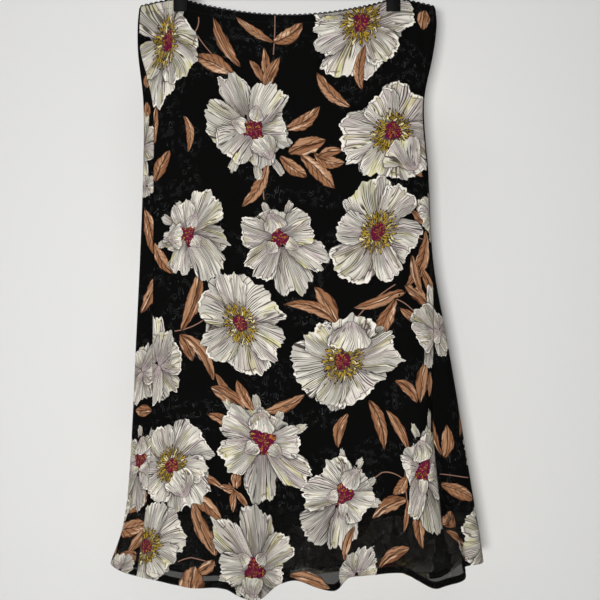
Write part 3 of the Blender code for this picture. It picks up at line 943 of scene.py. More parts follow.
class Wire:
    """A number, colour or vector in a node tree. Numbers add, scale and compare as they read."""

    __add__ = __radd__ = maths_of("ADD")
    __sub__ = maths_of("SUBTRACT")
    __mul__ = __rmul__ = maths_of("MULTIPLY")
    __truediv__ = maths_of("DIVIDE")
    __pow__ = maths_of("POWER")
    __abs__ = maths_of("ABSOLUTE")
    __gt__ = maths_of("GREATER_THAN")
    __lt__ = maths_of("LESS_THAN")
    least = maths_of("MINIMUM")
    most = maths_of("MAXIMUM")
    root = maths_of("SQRT")
    whole = maths_of("FLOOR")
    part = maths_of("FRACT")              # what stands after the point

    def __init__(self, tree: NodeTree, socket: NodeSocket) -> None:
        """Hold one output socket of a tree."""
        self.tree = tree
        self.socket = socket

    def maths(self, operation: str, *values: Feed) -> "Wire":
        """A Math node of these values."""
        return Draft(self.tree).node("Math", dict(enumerate(values)), operation=operation)

    def __rsub__(self, other: float) -> "Wire":
        """The number taken from another."""
        return self.maths("SUBTRACT", other, self)

    def near(self, value: float) -> "Wire":
        """1 where the number is within a half of a value."""
        return self.maths("COMPARE", self, value, 0.5)

    def comb(self) -> "Wire":
        """A zigzag of the number: 1 at whole numbers and 0 halfway between them."""
        return abs(self.part() - 0.5) * 2

    def rise(self, low: float, high: float) -> "Wire":
        """Ease the number from 0 to 1.

        Args:
            low: where it is 0.
            high: where it is 1; below low for a number that falls.

        Returns:
            The eased number.
        """
        falls = low > high
        feeds = {"Value": self, "From Min": min(low, high), "From Max": max(low, high),
                 "To Min": float(falls), "To Max": float(not falls)}
        return Draft(self.tree).node("MapRange", feeds, "Result", interpolation_type="SMOOTHSTEP")


def connect(tree: NodeTree, value: Feed, socket: NodeSocket) -> None:
    """Feed a socket.

    Args:
        tree: the node tree.
        value: a wire, or a fixed value.
        socket: what to feed.
    """
    if isinstance(value, Wire):
        tree.links.new(value.socket, socket)
    elif socket.type == "RGBA" and len(value) == 3:
        socket.default_value = (*value, 1.0)
    else:
        socket.default_value = value


class Draft:
    """Makes the nodes of one node tree."""

    def __init__(self, tree: NodeTree) -> None:
        """Work on one tree."""
        self.tree = tree

    def node(self, kind: str, feeds: dict, output: "int | str" = 0, **settings: object) -> Wire:
        """Make a node.

        Args:
            kind: its type, less ShaderNode.
            feeds: what its inputs get, by name or number.
            output: which output to give.
            settings: its properties.

        Returns:
            The output.
        """
        made = self.tree.nodes.new(f"ShaderNode{kind}")
        for name, value in settings.items():
            setattr(made, name, value)
        for name, value in feeds.items():
            connect(self.tree, value, made.inputs[name])
        return Wire(self.tree, made.outputs[output])

    def feed(self, node: Node, **values: Feed) -> None:
        """Feed a node's sockets; their names are given in lower case, with _ for a space."""
        sockets = {socket.name.lower().replace(" ", "_"): socket for socket in node.inputs}
        for name, value in values.items():
            connect(self.tree, value, sockets[name])

    def shade(self, **values: Feed) -> None:
        """Feed the material's own shader."""
        self.feed(self.tree.nodes["Principled BSDF"], **values)

    def split(self, vector: Wire) -> tuple[Wire, Wire, Wire]:
        """The three parts of a vector or colour."""
        parts = self.node("SeparateXYZ", {0: vector}).socket.node.outputs
        return tuple(Wire(self.tree, socket) for socket in parts)

    def swing(self, noise: Wire) -> list[Wire]:
        """The three parts of a noise, each less its middle."""
        return [part - 0.5 for part in self.split(noise)]

    def join(self, x: Feed, y: Feed, z: Feed = 0.0) -> Wire:
        """A vector of three numbers."""
        return self.node("CombineXYZ", {0: x, 1: y, 2: z})

    def attribute(self, name: str) -> Wire:
        """A vector kept on the mesh."""
        return self.node("Attribute", {}, "Vector", attribute_name=name)

    def uv(self, name: str) -> Wire:
        """A piece's own UV map."""
        return self.node("UVMap", {}, "UV", uv_map=name)

    def place(self) -> Wire:
        """Object coordinates."""
        return self.node("TexCoord", {}, "Object")

    def stretched(self, vector: Wire, scale: tuple[float, float, float]) -> Wire:
        """A vector scaled along its axes."""
        return self.node("VectorMath", {0: vector, 1: scale}, operation="MULTIPLY")

    def noise(self, place: Wire, scale: float, detail: float = 0.0, flat: bool = False,
              output: str = "Color") -> Wire:
        """Soft noise; flat noise leaves out the third coordinate. Its middle is 0.5."""
        return self.node("TexNoise", {"Vector": place, "Scale": scale, "Detail": detail}, output,
                         noise_dimensions="2D" if flat else "3D")

    def chance(self, x: Wire, y: Wire) -> tuple[Wire, Wire, Wire]:
        """Three numbers of chance for each pair of whole numbers."""
        return self.split(self.node("TexWhiteNoise", {"Vector": self.join(x, y)}, "Color",
                                    noise_dimensions="2D"))

    def mix(self, share: Feed, low: Feed, high: Feed) -> Wire:
        """A colour between two."""
        return self.node("Mix", {0: share, 6: low, 7: high}, 2, data_type="RGBA")

    def dim(self, colour: Wire, factor: Feed) -> Wire:
        """A colour scaled by a number."""
        return self.node("VectorMath", {0: colour, "Scale": factor}, operation="SCALE")

    def bump(self, height: Wire, strength: float, distance: float) -> Wire:
        """A normal from a height."""
        return self.node("Bump", {"Height": height, "Strength": strength, "Distance": distance}, "Normal")


SOCKETS = {"number": "NodeSocketFloat", "vector": "NodeSocketVector", "colour": "NodeSocketColor"}


class Effect:
    """A shader node group with named sockets, built once and placed in any material."""

    title = "Effect"
    takes: dict[str, str] = {}
    gives: dict[str, str] = {}

    def draw(self, draft: Draft, **given: Wire) -> Wires:
        """Make the group's nodes.

        Args:
            draft: the group's tree.
            given: a wire for each name in takes.

        Returns:
            A wire for each name in gives.
        """
        raise NotImplementedError

    def group(self) -> NodeTree:
        """Find the node group, which is made when it is first wanted.

        Returns:
            The group.
        """
        made = bpy.data.node_groups.get(self.title)
        if made is None:
            made = bpy.data.node_groups.new(self.title, "ShaderNodeTree")
            for name, kind in self.takes.items():
                made.interface.new_socket(name, in_out="INPUT", socket_type=SOCKETS[kind])
            for name, kind in self.gives.items():
                made.interface.new_socket(name, in_out="OUTPUT", socket_type=SOCKETS[kind])
            entry = made.nodes.new("NodeGroupInput")
            end = made.nodes.new("NodeGroupOutput")
            given = {name.lower(): Wire(made, entry.outputs[name]) for name in self.takes}
            for name, wire in self.draw(Draft(made), **given).items():
                made.links.new(wire.socket, end.inputs[name])
        return made

    def lay(self, draft: Draft, **given: Feed) -> Wires:
        """Place the group in a tree.

        Args:
            draft: the tree.
            given: what its sockets get; their names are given in lower case.

        Returns:
            A wire for each name in gives.
        """
        tree = draft.tree
        node = tree.nodes.new("ShaderNodeGroup")
        node.node_tree = self.group()
        draft.feed(node, **given)
        return {name: Wire(tree, node.outputs[name]) for name in self.gives}


# Ink of the print

@dataclass(frozen=True)
class PetalInk(Effect):
    """One white petal: a scalloped outline, pen lines that fan out, soft tints and a curled rim."""

    title = "Petal Ink"
    takes = {"Place": "vector", "Ruffle": "vector"}
    gives = {"Colour": "colour", "Cover": "number", "Shade": "number"}

    white: Colour = (0.70, 0.66, 0.58)
    cream: Colour = (0.59, 0.55, 0.235)
    lilac: Colour = (0.42, 0.27, 0.33)
    grey: Colour = (0.34, 0.325, 0.29)
    pen: Colour = (0.042, 0.034, 0.034)
    lines: float = 12.0                   # pen lines in a petal's fan
    seeds: int = 64                       # how many different petals there are

    def draw(self, draft: Draft, place: Wire, ruffle: Wire) -> Wires:
        """Make the petal's nodes.

        Args:
            draft: the group's tree.
            place: along the petal, aside from its axis, and its code.
            ruffle: a noise that all motifs share.

        Returns:
            The wires that the group gives.
        """
        from_base, aside, code = draft.split(place)
        ruffle = draft.swing(ruffle)
        tone = code.whole()
        seed = code.part()
        along = from_base.most(0.0)
        fan = aside / (along * 0.85 + 0.28)
        lobe = draft.swing(draft.noise(draft.join(fan * 1.7 + seed * 70, along * 0.8, seed * 31), 1.0, 1.0))
        hair = draft.swing(draft.noise(draft.join(fan * 6.0 + seed * 90, along * 1.5, seed * 17), 1.0, 1.0))

        along = along * (1 + lobe[0] * 0.48 + hair[1] * 0.19)
        aside = aside * (1 + lobe[1] * 0.28) + ruffle[1] * 0.20
        blunt = 3.2 + (seed * 7.3).part() * 3.2
        tip = (1 - along ** blunt).most(0.0)
        width = along ** 0.62 * tip.root() * 1.42
        inside = (width - abs(aside)).least((1 - along) * 2.6).least(from_base * 9)
        edge = inside.rise(0.050, 0.018)

        course = (fan + lobe[2] * 0.7 + hair[0] * 0.10) * self.lines + seed * 9
        begin, finish, weight = draft.chance((course + 0.5).whole(), (seed * self.seeds).whole())
        drawn = (along - begin * 0.24).rise(0.0, 0.05) * (finish * 0.60 + 0.62 - along).rise(0.0, 0.14)
        fine = course.comb().rise(0.44, 0.72) * drawn * (weight * 0.35 + 0.65)
        close = (course * 2 + 0.5).comb().rise(0.48, 0.80) * (0.50 + lobe[1] * 1.4 - along).rise(0.0, 0.12)
        rim = abs(inside - 0.20 - lobe[1] * 0.7 - hair[1] * 0.3).rise(0.038, 0.012)
        rim = rim * lobe[2].rise(-0.05, 0.03) * along.rise(0.45, 0.6)
        pen = fine.most(close * 0.7).most(rim * 0.85).most(edge)

        fold = (lobe[0] + hair[1] * 0.25).rise(0.10, -0.12)
        colour = draft.mix(lobe[1].rise(0.0, 0.12) * hair[2].rise(-0.12, 0.03) * 0.85, self.white, self.cream)
        colour = draft.mix(fold * 0.62, colour, self.grey)
        base = along.rise(0.50, 0.08) * 0.45
        streak = (course + 0.3).comb().rise(0.6, 0.9) * lobe[2].rise(-0.02, 0.07) * 0.8
        colour = draft.mix(streak.most(base), colour, self.lilac)
        curl = inside.rise(0.24, 0.14) * lobe[2].rise(-0.04, 0.02) * along.rise(0.5, 0.7)
        lit = (hair[1].rise(0.05, 0.14) * along.rise(0.2, 0.6) * 0.6).most(curl * 0.9)
        colour = draft.mix(lit, colour, (0.84, 0.80, 0.72))
        value = 1.0 - tone.near(Tone.UNDER) * 0.20 - tone.near(Tone.BRACT) * 0.12
        colour = draft.dim(colour, value + tone.near(Tone.LIP) * 0.06)
        colour = draft.mix(pen, colour, self.pen)
        return {"Colour": colour, "Cover": inside > 0.0, "Shade": inside.rise(-0.20, 0.0)}


@dataclass(frozen=True)
class LeafInk(Effect):
    """One copper leaf: a pointed outline, a midrib, streaks of pen and a lighter half."""

    title = "Leaf Ink"
    takes = {"Place": "vector", "Ruffle": "vector"}
    gives = {"Colour": "colour", "Cover": "number"}

    copper: Colour = (0.300, 0.143, 0.071)
    light: Colour = (0.50, 0.285, 0.165)
    deep: Colour = (0.17, 0.068, 0.032)
    pen: Colour = (0.030, 0.010, 0.006)

    def draw(self, draft: Draft, place: Wire, ruffle: Wire) -> Wires:
        """Make the leaf's nodes.

        Args:
            draft: the group's tree.
            place: along the leaf, aside from its axis, and its code.
            ruffle: a noise that all motifs share.

        Returns:
            The wires that the group gives.
        """
        along, aside, code = draft.split(place)
        ruffle = draft.swing(ruffle)
        seed = code.part()
        place = draft.join(aside * 2.4 + seed * 60, along * 1.7, seed * 23)
        streaks = draft.swing(draft.noise(place, 1.0, 1.0))

        aside = aside + ruffle[1] * 0.26
        held = along.most(0.0).least(1.0)
        width = (held ** 0.72 * (1 - held) ** 0.80 * 2.85).least(0.25 + held * 2.0)
        waved = width * (1 + ruffle[0] * 0.34 + streaks[1] * 0.30)
        inside = (waved - abs(aside)).least(along * 12).least((1 - along) * 6)
        share = aside / waved.most(0.2)

        rib = abs(aside - streaks[2] * 0.5).rise(0.13, 0.05)
        veins = (along * 6.5 - abs(share) * 1.5 + seed * 3).comb().rise(0.66, 0.88)
        veins = veins * streaks[2].rise(-0.13, -0.05)
        drawn = (aside * 1.7 + streaks[2] * 2.2 + 0.5).comb().rise(0.55, 0.82) * streaks[0].rise(-0.16, -0.04)
        kind = (seed * 3.7).part() > 0.40
        pen = rib.most(veins * 0.75 * (1 - kind)).most(drawn * kind * 0.8)
        pen = pen.most(inside.rise(0.13, 0.04))

        side = (share + streaks[2] * 1.2).rise(-0.1, 0.15)
        colour = draft.mix(side * 0.6, self.copper, self.light)
        colour = draft.mix(streaks[1].rise(-0.02, 0.14) * 0.7, colour, self.deep)
        lit = streaks[0].rise(0.10, 0.20) * 0.8
        colour = draft.mix(lit, colour, (0.76, 0.52, 0.36))
        return {"Colour": draft.mix(pen * 0.88, colour, self.pen), "Cover": inside > 0.0}


@dataclass(frozen=True)
class HeartInk(Effect):
    """A bloom's middle: a wine-red heart with gold flecks, and stamens round an open one."""

    title = "Heart Ink"
    takes = {"Place": "vector", "Ruffle": "vector", "Nick": "vector"}
    gives = {"Colour": "colour", "Cover": "number", "Above": "number", "Shade": "number"}

    wine: Colour = (0.135, 0.005, 0.038)
    gold: Colour = (0.36, 0.115, 0.020)
    mustard: Colour = (0.40, 0.270, 0.030)
    olive: Colour = (0.17, 0.125, 0.016)
    straw: Colour = (0.70, 0.62, 0.34)
    pen: Colour = (0.035, 0.016, 0.012)

    def stamens(self, draft: Draft, turn: Wire, out: Wire, seed: Wire, count: int,
                ends: tuple[float, float]) -> tuple[Wire, Wire, Wire]:
        """One ring of stamens.

        Args:
            draft: the group's tree.
            turn: turn round the heart, from 0 to 1.
            out: distance out, in the heart's radius.
            seed: the bloom's number of chance.
            count: how many there are.
            ends: nearest and furthest place of their middles.

        Returns:
            Masks of the stamens and of their dark outlines, and a number of chance for each.
        """
        cell = turn * count
        far, lean, hue = draft.chance(cell.whole(), (seed * 97 + count).whole())
        middle = far * (ends[1] - ends[0]) + ends[0]
        aside = cell.part() - 0.5 + (lean - 0.5) * 0.4 + (out - middle) * (hue - 0.5) * 3.0
        aside = aside * out * (2 * math.pi / count)
        shape = ((out - middle) / 0.15) ** 2 + (aside / 0.034) ** 2
        return shape < 1.0, shape < 2.2, hue

    def draw(self, draft: Draft, place: Wire, ruffle: Wire, nick: Wire) -> Wires:
        """Make the heart's nodes.

        Args:
            draft: the group's tree.
            place: across and up from its middle, and its code.
            ruffle: a noise that all motifs share.
            nick: a finer one.

        Returns:
            The wires that the group gives.
        """
        x, y, code = draft.split(place)
        ruffle = draft.swing(ruffle)
        nick = draft.swing(nick)
        above = (code / 4).whole()
        kind = (code - above * 4).whole()
        seed = code.part()
        opened = kind.near(OPEN)

        x = x + ruffle[0] * 0.22 + nick[0] * 0.06
        y = y + ruffle[1] * 0.22 + nick[1] * 0.06
        out = (x * x + y * y).root()
        turn = y.maths("ARCTAN2", y, x) / (2 * math.pi) + 0.5
        lobes = turn.maths("SINE", turn * (2 * math.pi * 3) + seed * 20)
        size = opened * 0.44 + (1 - opened) * (0.80 + lobes * 0.22) + nick[2] * 0.12
        core = (size - out).rise(-0.01, 0.01)
        ray = draft.swing(draft.noise(draft.join(turn * 26, out * 3.0, seed * 40), 1.0, 1.0))
        heart = draft.mix(ray[0].rise(0.09, 0.13), self.wine, self.gold)
        heart = draft.mix((ray[2] + nick[0] * 0.4).rise(0.14, 0.18) * 0.8, heart, self.mustard)
        lines = abs(ray[1]).rise(0.050, 0.022).most((size - out).rise(0.07, 0.02))
        heart = draft.mix(lines * 0.9, heart, self.pen)

        colour = heart
        cover = core
        free = opened * (1 - core)
        for count, ends in ((34, (0.80, 0.96)), (29, (0.62, 0.80)), (23, (0.48, 0.64))):
            stamen, outline, hue = self.stamens(draft, turn, out, seed, count, ends)
            inked = draft.mix(hue.rise(0.35, 0.60), self.mustard, self.olive)
            inked = draft.mix(hue.rise(0.80, 0.84), inked, self.straw)
            colour = draft.mix(outline * free, colour, self.pen)
            colour = draft.mix(stamen * free, colour, inked)
            cover = cover.most(outline * free)
        shade = out.rise(1.25, 0.55) * (opened * 0.15 + 0.30)
        return {"Colour": colour, "Cover": cover, "Above": above, "Shade": shade}


@dataclass(frozen=True)
class GroundInk(Effect):
    """The black ground with faint pencilled tangles in patches."""

    title = "Ground Ink"
    takes = {"Flat": "vector", "Ruffle": "vector"}
    gives = {"Colour": "colour"}

    black: Colour = (0.0026, 0.0026, 0.0025)
    pencil: Colour = (0.044, 0.046, 0.048)

    def draw(self, draft: Draft, flat: Wire, ruffle: Wire) -> Wires:
        """Make the ground's nodes.

        Args:
            draft: the group's tree.
            flat: the flat place.
            ruffle: a noise that all motifs share.

        Returns:
            The wires that the group gives.
        """
        patch = draft.noise(flat, 17.0, 0.0, True, "Fac")
        tangle = draft.noise(draft.stretched(flat, (60.0, 34.0, 1.0)), 1.0, 1.0, True, "Fac")
        part = draft.split(ruffle)[2]
        lines = (tangle * 15).comb().rise(0.70, 0.92) * patch.rise(0.47, 0.60) * part.rise(0.48, 0.60)
        return {"Colour": draft.mix(lines * 0.7, self.black, self.pencil)}


@dataclass(frozen=True)
class CrepePrint(Effect):
    """The whole print of the cloth, from what its mesh keeps of the motifs."""

    title = "Crepe Print"
    takes = {"Flat": "vector"}
    gives = {"Colour": "colour", "Inked": "number"}

    stem: Colour = (0.30, 0.17, 0.12)
    petal_layers: int = 4

    def draw(self, draft: Draft, flat: Wire) -> Wires:
        """Make the print's nodes, from the ground up to the topmost motif.

        Args:
            draft: the group's tree.
            flat: the flat place.

        Returns:
            The wires that the group gives.
        """
        ruffle = draft.noise(flat, 110.0, 1.0, True)
        nick = draft.noise(flat, 420.0, 0.0, True)
        ground = GroundInk().lay(draft, flat=flat, ruffle=ruffle)
        colour = ground["Colour"]

        along, aside, _ = draft.split(draft.attribute("stem"))
        on_stem = (abs(aside) < draft.split(nick)[0] * 0.3 + 0.8) * (along > 0.0) * (along < 1.0)
        stem = draft.mix(abs(aside).rise(0.3, 0.8), self.stem, (0.12, 0.06, 0.045))
        colour = draft.mix(on_stem, colour, stem)

        inked = on_stem
        for name in ("leaf_2", "leaf_1"):
            leaf = LeafInk().lay(draft, place=draft.attribute(name), ruffle=ruffle)
            colour = draft.mix(leaf["Cover"], colour, leaf["Colour"])
            inked = inked.most(leaf["Cover"])

        heart = HeartInk().lay(draft, place=draft.attribute("heart"), ruffle=ruffle, nick=nick)
        petals = [PetalInk().lay(draft, place=draft.attribute(f"petal_{layer}"), ruffle=ruffle)
                  for layer in range(1, self.petal_layers + 1)]
        for layer in range(self.petal_layers, -1, -1):
            here = heart["Cover"] * heart["Above"].near(layer)
            if layer < self.petal_layers:
                petal = petals[layer]
                shaded = draft.dim(colour, 1 - petal["Shade"] * 0.42)
                colour = draft.mix(petal["Cover"], shaded, petal["Colour"])
                inked = inked.most(petal["Cover"])
            under = heart["Above"].near(layer) * heart["Shade"]
            colour = draft.dim(colour, 1 - under)
            colour = draft.mix(here, colour, heart["Colour"])

        leaf = LeafInk().lay(draft, place=draft.attribute("leaf_over"), ruffle=ruffle)
        colour = draft.mix(leaf["Cover"], colour, leaf["Colour"])
        return {"Colour": colour, "Inked": inked.most(leaf["Cover"])}


@dataclass(frozen=True)
class CrepeGrain(Effect):
    """Fine crinkle of crepe yarns, a slight unevenness of its dye, and painted shade in the crinkle's
    hollows.
    """

    title = "Crepe Grain"
    takes = {"Flat": "vector"}
    gives = {"Height": "number", "Dye": "number"}

    def draw(self, draft: Draft, flat: Wire) -> Wires:
        """Make the grain's nodes.

        Args:
            draft: the group's tree.
            flat: the flat place.

        Returns:
            The wires that the group gives.
        """
        crinkle = draft.noise(draft.stretched(flat, (900.0, 520.0, 1.0)), 1.0, 2.0, True, "Fac")
        slub = draft.noise(draft.stretched(flat, (60.0, 240.0, 1.0)), 1.0, 1.0, True, "Fac")
        across, down, _ = draft.split(flat)
        weave = (across * 2300).comb() * 0.5 + (down * 2000).comb() * 0.5
        height = crinkle * 0.75 + slub * 0.15 + weave * 0.10
        # The second output scales the print: the slubs' part is uneven dye, the crinkle's part is painted
        # shade, darker in the crinkle's hollows and lighter on its crests.
        return {"Height": height, "Dye": slub * 0.10 + crinkle * 0.10 + 0.90}


# Finishes

@dataclass(frozen=True)
class MouldGrain(Effect):
    """Fine texture that a mould leaves on plastic, with rubbed places."""

    title = "Mould Grain"
    takes = {"Place": "vector"}
    gives = {"Height": "number", "Rubbed": "number"}

    def draw(self, draft: Draft, place: Wire) -> Wires:
        """Make the grain's nodes.

        Args:
            draft: the group's tree.
            place: object coordinates.

        Returns:
            The wires that the group gives.
        """
        fine = draft.noise(place, 2600.0, 2.0, False, "Fac")
        cloud = draft.noise(place, 55.0, 3.0, False, "Fac")
        return {"Height": fine, "Rubbed": cloud.rise(0.52, 0.72)}


@dataclass(frozen=True)
class Scratches(Effect):
    """Long fine scratches in two directions."""

    title = "Fine Scratches"
    takes = {"Place": "vector"}
    gives = {"Scratched": "number"}

    def draw(self, draft: Draft, place: Wire) -> Wires:
        """Make the scratches' nodes.

        Args:
            draft: the group's tree.
            place: object coordinates.

        Returns:
            The wires that the group gives.
        """
        found: list[Wire] = []
        for stretch in ((70.0, 900.0, 1500.0), (1300.0, 800.0, 90.0)):
            streak = draft.noise(draft.stretched(place, stretch), 1.0, 1.0, False, "Fac")
            found.append(abs(streak - 0.5).rise(0.030, 0.004))
        return {"Scratched": found[0].most(found[1])}


@dataclass(frozen=True)
class Finish:
    """What a surface is made of. Its material is made once, when it is first wanted."""

    title: str
    base: Colour
    roughness: float
    specular: float = 0.5
    metallic: float = 0.0

    def dress(self, draft: Draft) -> None:
        """Feed the shader what changes over the surface."""

    def material(self) -> Material:
        """Find the finish's material, which is made when it is first wanted.

        Returns:
            The material.
        """
        made = bpy.data.materials.get(self.title)
        if made is None:
            made = bpy.data.materials.new(self.title)
            made.use_nodes = True
            draft = Draft(made.node_tree)
            draft.shade(base_color=self.base, roughness=self.roughness, metallic=self.metallic,
                        specular_ior_level=self.specular)
            self.dress(draft)
        return made


@dataclass(frozen=True)
class PrintedCrepe(Finish):
    """Thin crepe, printed on its right side; below the lining it is sheer."""

    title: str = "Printed crepe"
    base: Colour = (0.3, 0.27, 0.25)
    roughness: float = 0.80
    specular: float = 0.02
    sheer: bool = False
    wrong_side: bool = False
    ground_cover: float = 0.67            # how much of the light the unprinted face stops
    ink_cover: float = 0.93

    def dress(self, draft: Draft) -> None:
        """Feed the print, the crinkle of the crepe and, where it is sheer, what shows through.

        Args:
            draft: the material's tree.
        """
        flat = draft.uv("flat")
        print_ = CrepePrint().lay(draft, flat=flat)
        grain = CrepeGrain().lay(draft, flat=flat)
        # The print is scaled by uneven dye and by painted shade in the crinkle's hollows.
        colour = draft.dim(print_["Colour"], grain["Dye"])
        if self.wrong_side:
            colour = draft.mix(0.20, draft.dim(colour, 0.85), (0.08, 0.076, 0.072))
        draft.shade(base_color=colour)
        if self.sheer:
            cover = print_["Inked"] * (self.ink_cover - self.ground_cover) + self.ground_cover
            draft.shade(alpha=cover)
        draft.shade(normal=draft.bump(grain["Height"], 0.35, 0.25 * MM))


@dataclass(frozen=True)
class SatinLining(Finish):
    """Black satin lining with a fine weave."""

    title: str = "Black satin lining"
    base: Colour = (0.0075, 0.0075, 0.0082)
    roughness: float = 0.46
    specular: float = 0.45

    def dress(self, draft: Draft) -> None:
        """Feed a fine weave and slight streaks, lighter and rougher, which also rise in the bump.

        Args:
            draft: the material's tree.
        """
        across, down, _ = draft.split(draft.uv("flat"))
        weave = (across * 1900).comb() + (down * 1400).comb() * 0.6
        streak = draft.noise(draft.stretched(draft.uv("flat"), (160.0, 9.0, 1.0)), 1.0, 2.0, True, "Fac")
        colour = draft.mix(streak, self.base, (0.013, 0.013, 0.014))
        draft.shade(base_color=colour, roughness=streak * 0.16 + 0.38)
        draft.shade(normal=draft.bump(weave + streak, 0.3, 0.08 * MM))


@dataclass(frozen=True)
class WovenElastic(Finish):
    """Black woven elastic: ribs along the band, yarns across it."""

    title: str = "Woven elastic"
    base: Colour = (0.008, 0.008, 0.009)
    roughness: float = 0.80
    specular: float = 0.12

    def dress(self, draft: Draft) -> None:
        """Feed the ribs and the yarns from the band's own UV map, and painted shade in the grooves between
        them.

        Args:
            draft: the material's tree.
        """
        across, down, _ = draft.split(draft.uv("flat"))
        ribs = (down * 620).comb()
        yarns = (across * 900).comb()
        height = ribs * 0.8 + yarns * 0.35
        # Painted shade: the colour follows the height, darker in the grooves and lighter on the crests.
        colour = draft.mix(height.rise(0.2, 1.0), (0.004, 0.004, 0.004), (0.014, 0.014, 0.015))
        draft.shade(base_color=colour, normal=draft.bump(height, 0.6, 0.30 * MM))


@dataclass(frozen=True)
class SpunThread(Finish):
    """Black sewing thread with the twist of its plies."""

    title: str = "Black thread"
    base: Colour = (0.008, 0.008, 0.009)
    roughness: float = 0.75
    specular: float = 0.12

    def dress(self, draft: Draft) -> None:
        """Feed a twist that runs askew, and painted shade in the grooves between its plies.

        Args:
            draft: the material's tree.
        """
        x, _, z = draft.split(draft.place())
        twist = ((x + z) * 2200).comb()
        # Painted shade: darker in the twist's grooves, lighter on its plies.
        colour = draft.mix(twist, (0.004, 0.004, 0.005), (0.013, 0.013, 0.014))
        draft.shade(base_color=colour, normal=draft.bump(twist, 0.5, 0.10 * MM))


@dataclass(frozen=True)
class MouldedPlastic(Finish):
    """Black moulded plastic, rubbed glossier where it is handled."""

    title: str = "Moulded black plastic"
    base: Colour = (0.0026, 0.0027, 0.0026)
    roughness: float = 0.48
    specular: float = 0.05

    def dress(self, draft: Draft) -> None:
        """Feed the mould's grain, rubbed places and fine scratches.

        Args:
            draft: the material's tree.
        """
        place = draft.place()
        grain = MouldGrain().lay(draft, place=place)
        scratched = Scratches().lay(draft, place=place)["Scratched"]
        wear = grain["Rubbed"]
        rough = 0.47 - wear * 0.13 + scratched * 0.10
        draft.shade(roughness=rough)
        light = (wear * 0.25).most(scratched * 0.5)
        draft.shade(base_color=draft.mix(light, self.base, (0.014, 0.014, 0.014)))
        height = grain["Height"] - scratched * 0.5
        draft.shade(normal=draft.bump(height, 0.22, 0.05 * MM))


@dataclass(frozen=True)
class DrawnSteel(Finish):
    """Bright drawn steel wire with fine lines along it."""

    title: str = "Drawn steel wire"
    base: Colour = (0.70, 0.70, 0.685)
    roughness: float = 0.22
    metallic: float = 1.0

    def dress(self, draft: Draft) -> None:
        """Feed dull patches and fine scratches.

        Args:
            draft: the material's tree.
        """
        place = draft.place()
        cloud = draft.noise(place, 90.0, 3.0, False, "Fac")
        scratched = Scratches().lay(draft, place=place)["Scratched"]
        rough = cloud.rise(0.35, 0.75) * 0.12 + 0.17 + scratched * 0.14
        draft.shade(roughness=rough)
        colour = draft.mix(cloud.rise(0.45, 0.8) * 0.5, self.base, (0.52, 0.515, 0.50))
        draft.shade(base_color=colour, normal=draft.bump(scratched, 0.25, 0.04 * MM))


@dataclass(frozen=True)
class WallPaint(Finish):
    """Pale matt paint of the backdrop; it shows from the front only and casts no shadow."""

    title: str = "Pale matt paint"
    base: Colour = (0.72, 0.72, 0.71)
    roughness: float = 0.9
    specular: float = 0.15

    def dress(self, draft: Draft) -> None:
        """Make the paint's back clear, and give its front a faint unevenness.

        Args:
            draft: the material's tree.
        """
        cloud = draft.noise(draft.place(), 2.2, 2.0, False, "Fac")
        colour = draft.mix(cloud, (0.712, 0.712, 0.703), (0.728, 0.728, 0.721))
        draft.shade(base_color=colour)
        nodes = draft.tree.nodes
        clear = nodes.new("ShaderNodeBsdfTransparent")
        choice = nodes.new("ShaderNodeMixShader")
        behind = Wire(draft.tree, nodes.new("ShaderNodeNewGeometry").outputs["Backfacing"])
        shadow = Wire(draft.tree, nodes.new("ShaderNodeLightPath").outputs["Is Shadow Ray"])
        connect(draft.tree, behind.most(shadow), choice.inputs[0])
        draft.tree.links.new(nodes["Principled BSDF"].outputs[0], choice.inputs[1])
        draft.tree.links.new(clear.outputs[0], choice.inputs[2])
        draft.tree.links.new(choice.outputs[0], nodes["Material Output"].inputs["Surface"])


CREPE_FACES = (
    PrintedCrepe(),
    PrintedCrepe(title="Printed crepe, sheer", sheer=True),
    PrintedCrepe(title="Printed crepe, wrong side", wrong_side=True),
    PrintedCrepe(title="Printed crepe, sheer, wrong side", sheer=True, wrong_side=True),
)


# Making and placing pieces

def add_piece(name: str, mesh: Mesh, finishes: Sequence[Finish],
              stands_for: str = "", smooth_angle: float = 40.0) -> Object:
    """Put a finished mesh in the scene as a piece of the part.

    Args:
        name: the piece's name.
        mesh: its mesh, in place.
        finishes: its materials, in the order of its faces' indices.
        stands_for: the CAD node that it replaces, if any.
        smooth_angle: edges sharper than this many degrees stay crisp.

    Returns:
        The piece.
    """
    mesh.shade_smooth()
    mesh.set_sharp_from_angle(angle=math.radians(smooth_angle))
    for finish in finishes:
        mesh.materials.append(finish.material())
    made = bpy.data.objects.new(name, mesh)
    bpy.context.scene.collection.objects.link(made)
    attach(made, BODY)
    if stands_for:
        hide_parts(stands_for)
    log.info("%s: %d faces", name, len(mesh.polygons))
    return made


def to_mesh(bm: BMesh, name: str, outwards: bool = True) -> Mesh:
    """Turn a bmesh into a mesh.

    Args:
        bm: the bmesh, which is freed.
        name: the mesh's name.
        outwards: whether its faces are turned outwards.

    Returns:
        The mesh.
    """
    if outwards:
        bmesh.ops.recalc_face_normals(bm, faces=bm.faces)
    mesh = bpy.data.meshes.new(name)
    bm.to_mesh(mesh)
    bm.free()
    return mesh


def only(kind: type, items: Sequence) -> list:
    """The items of one kind."""
    return [item for item in items if isinstance(item, kind)]


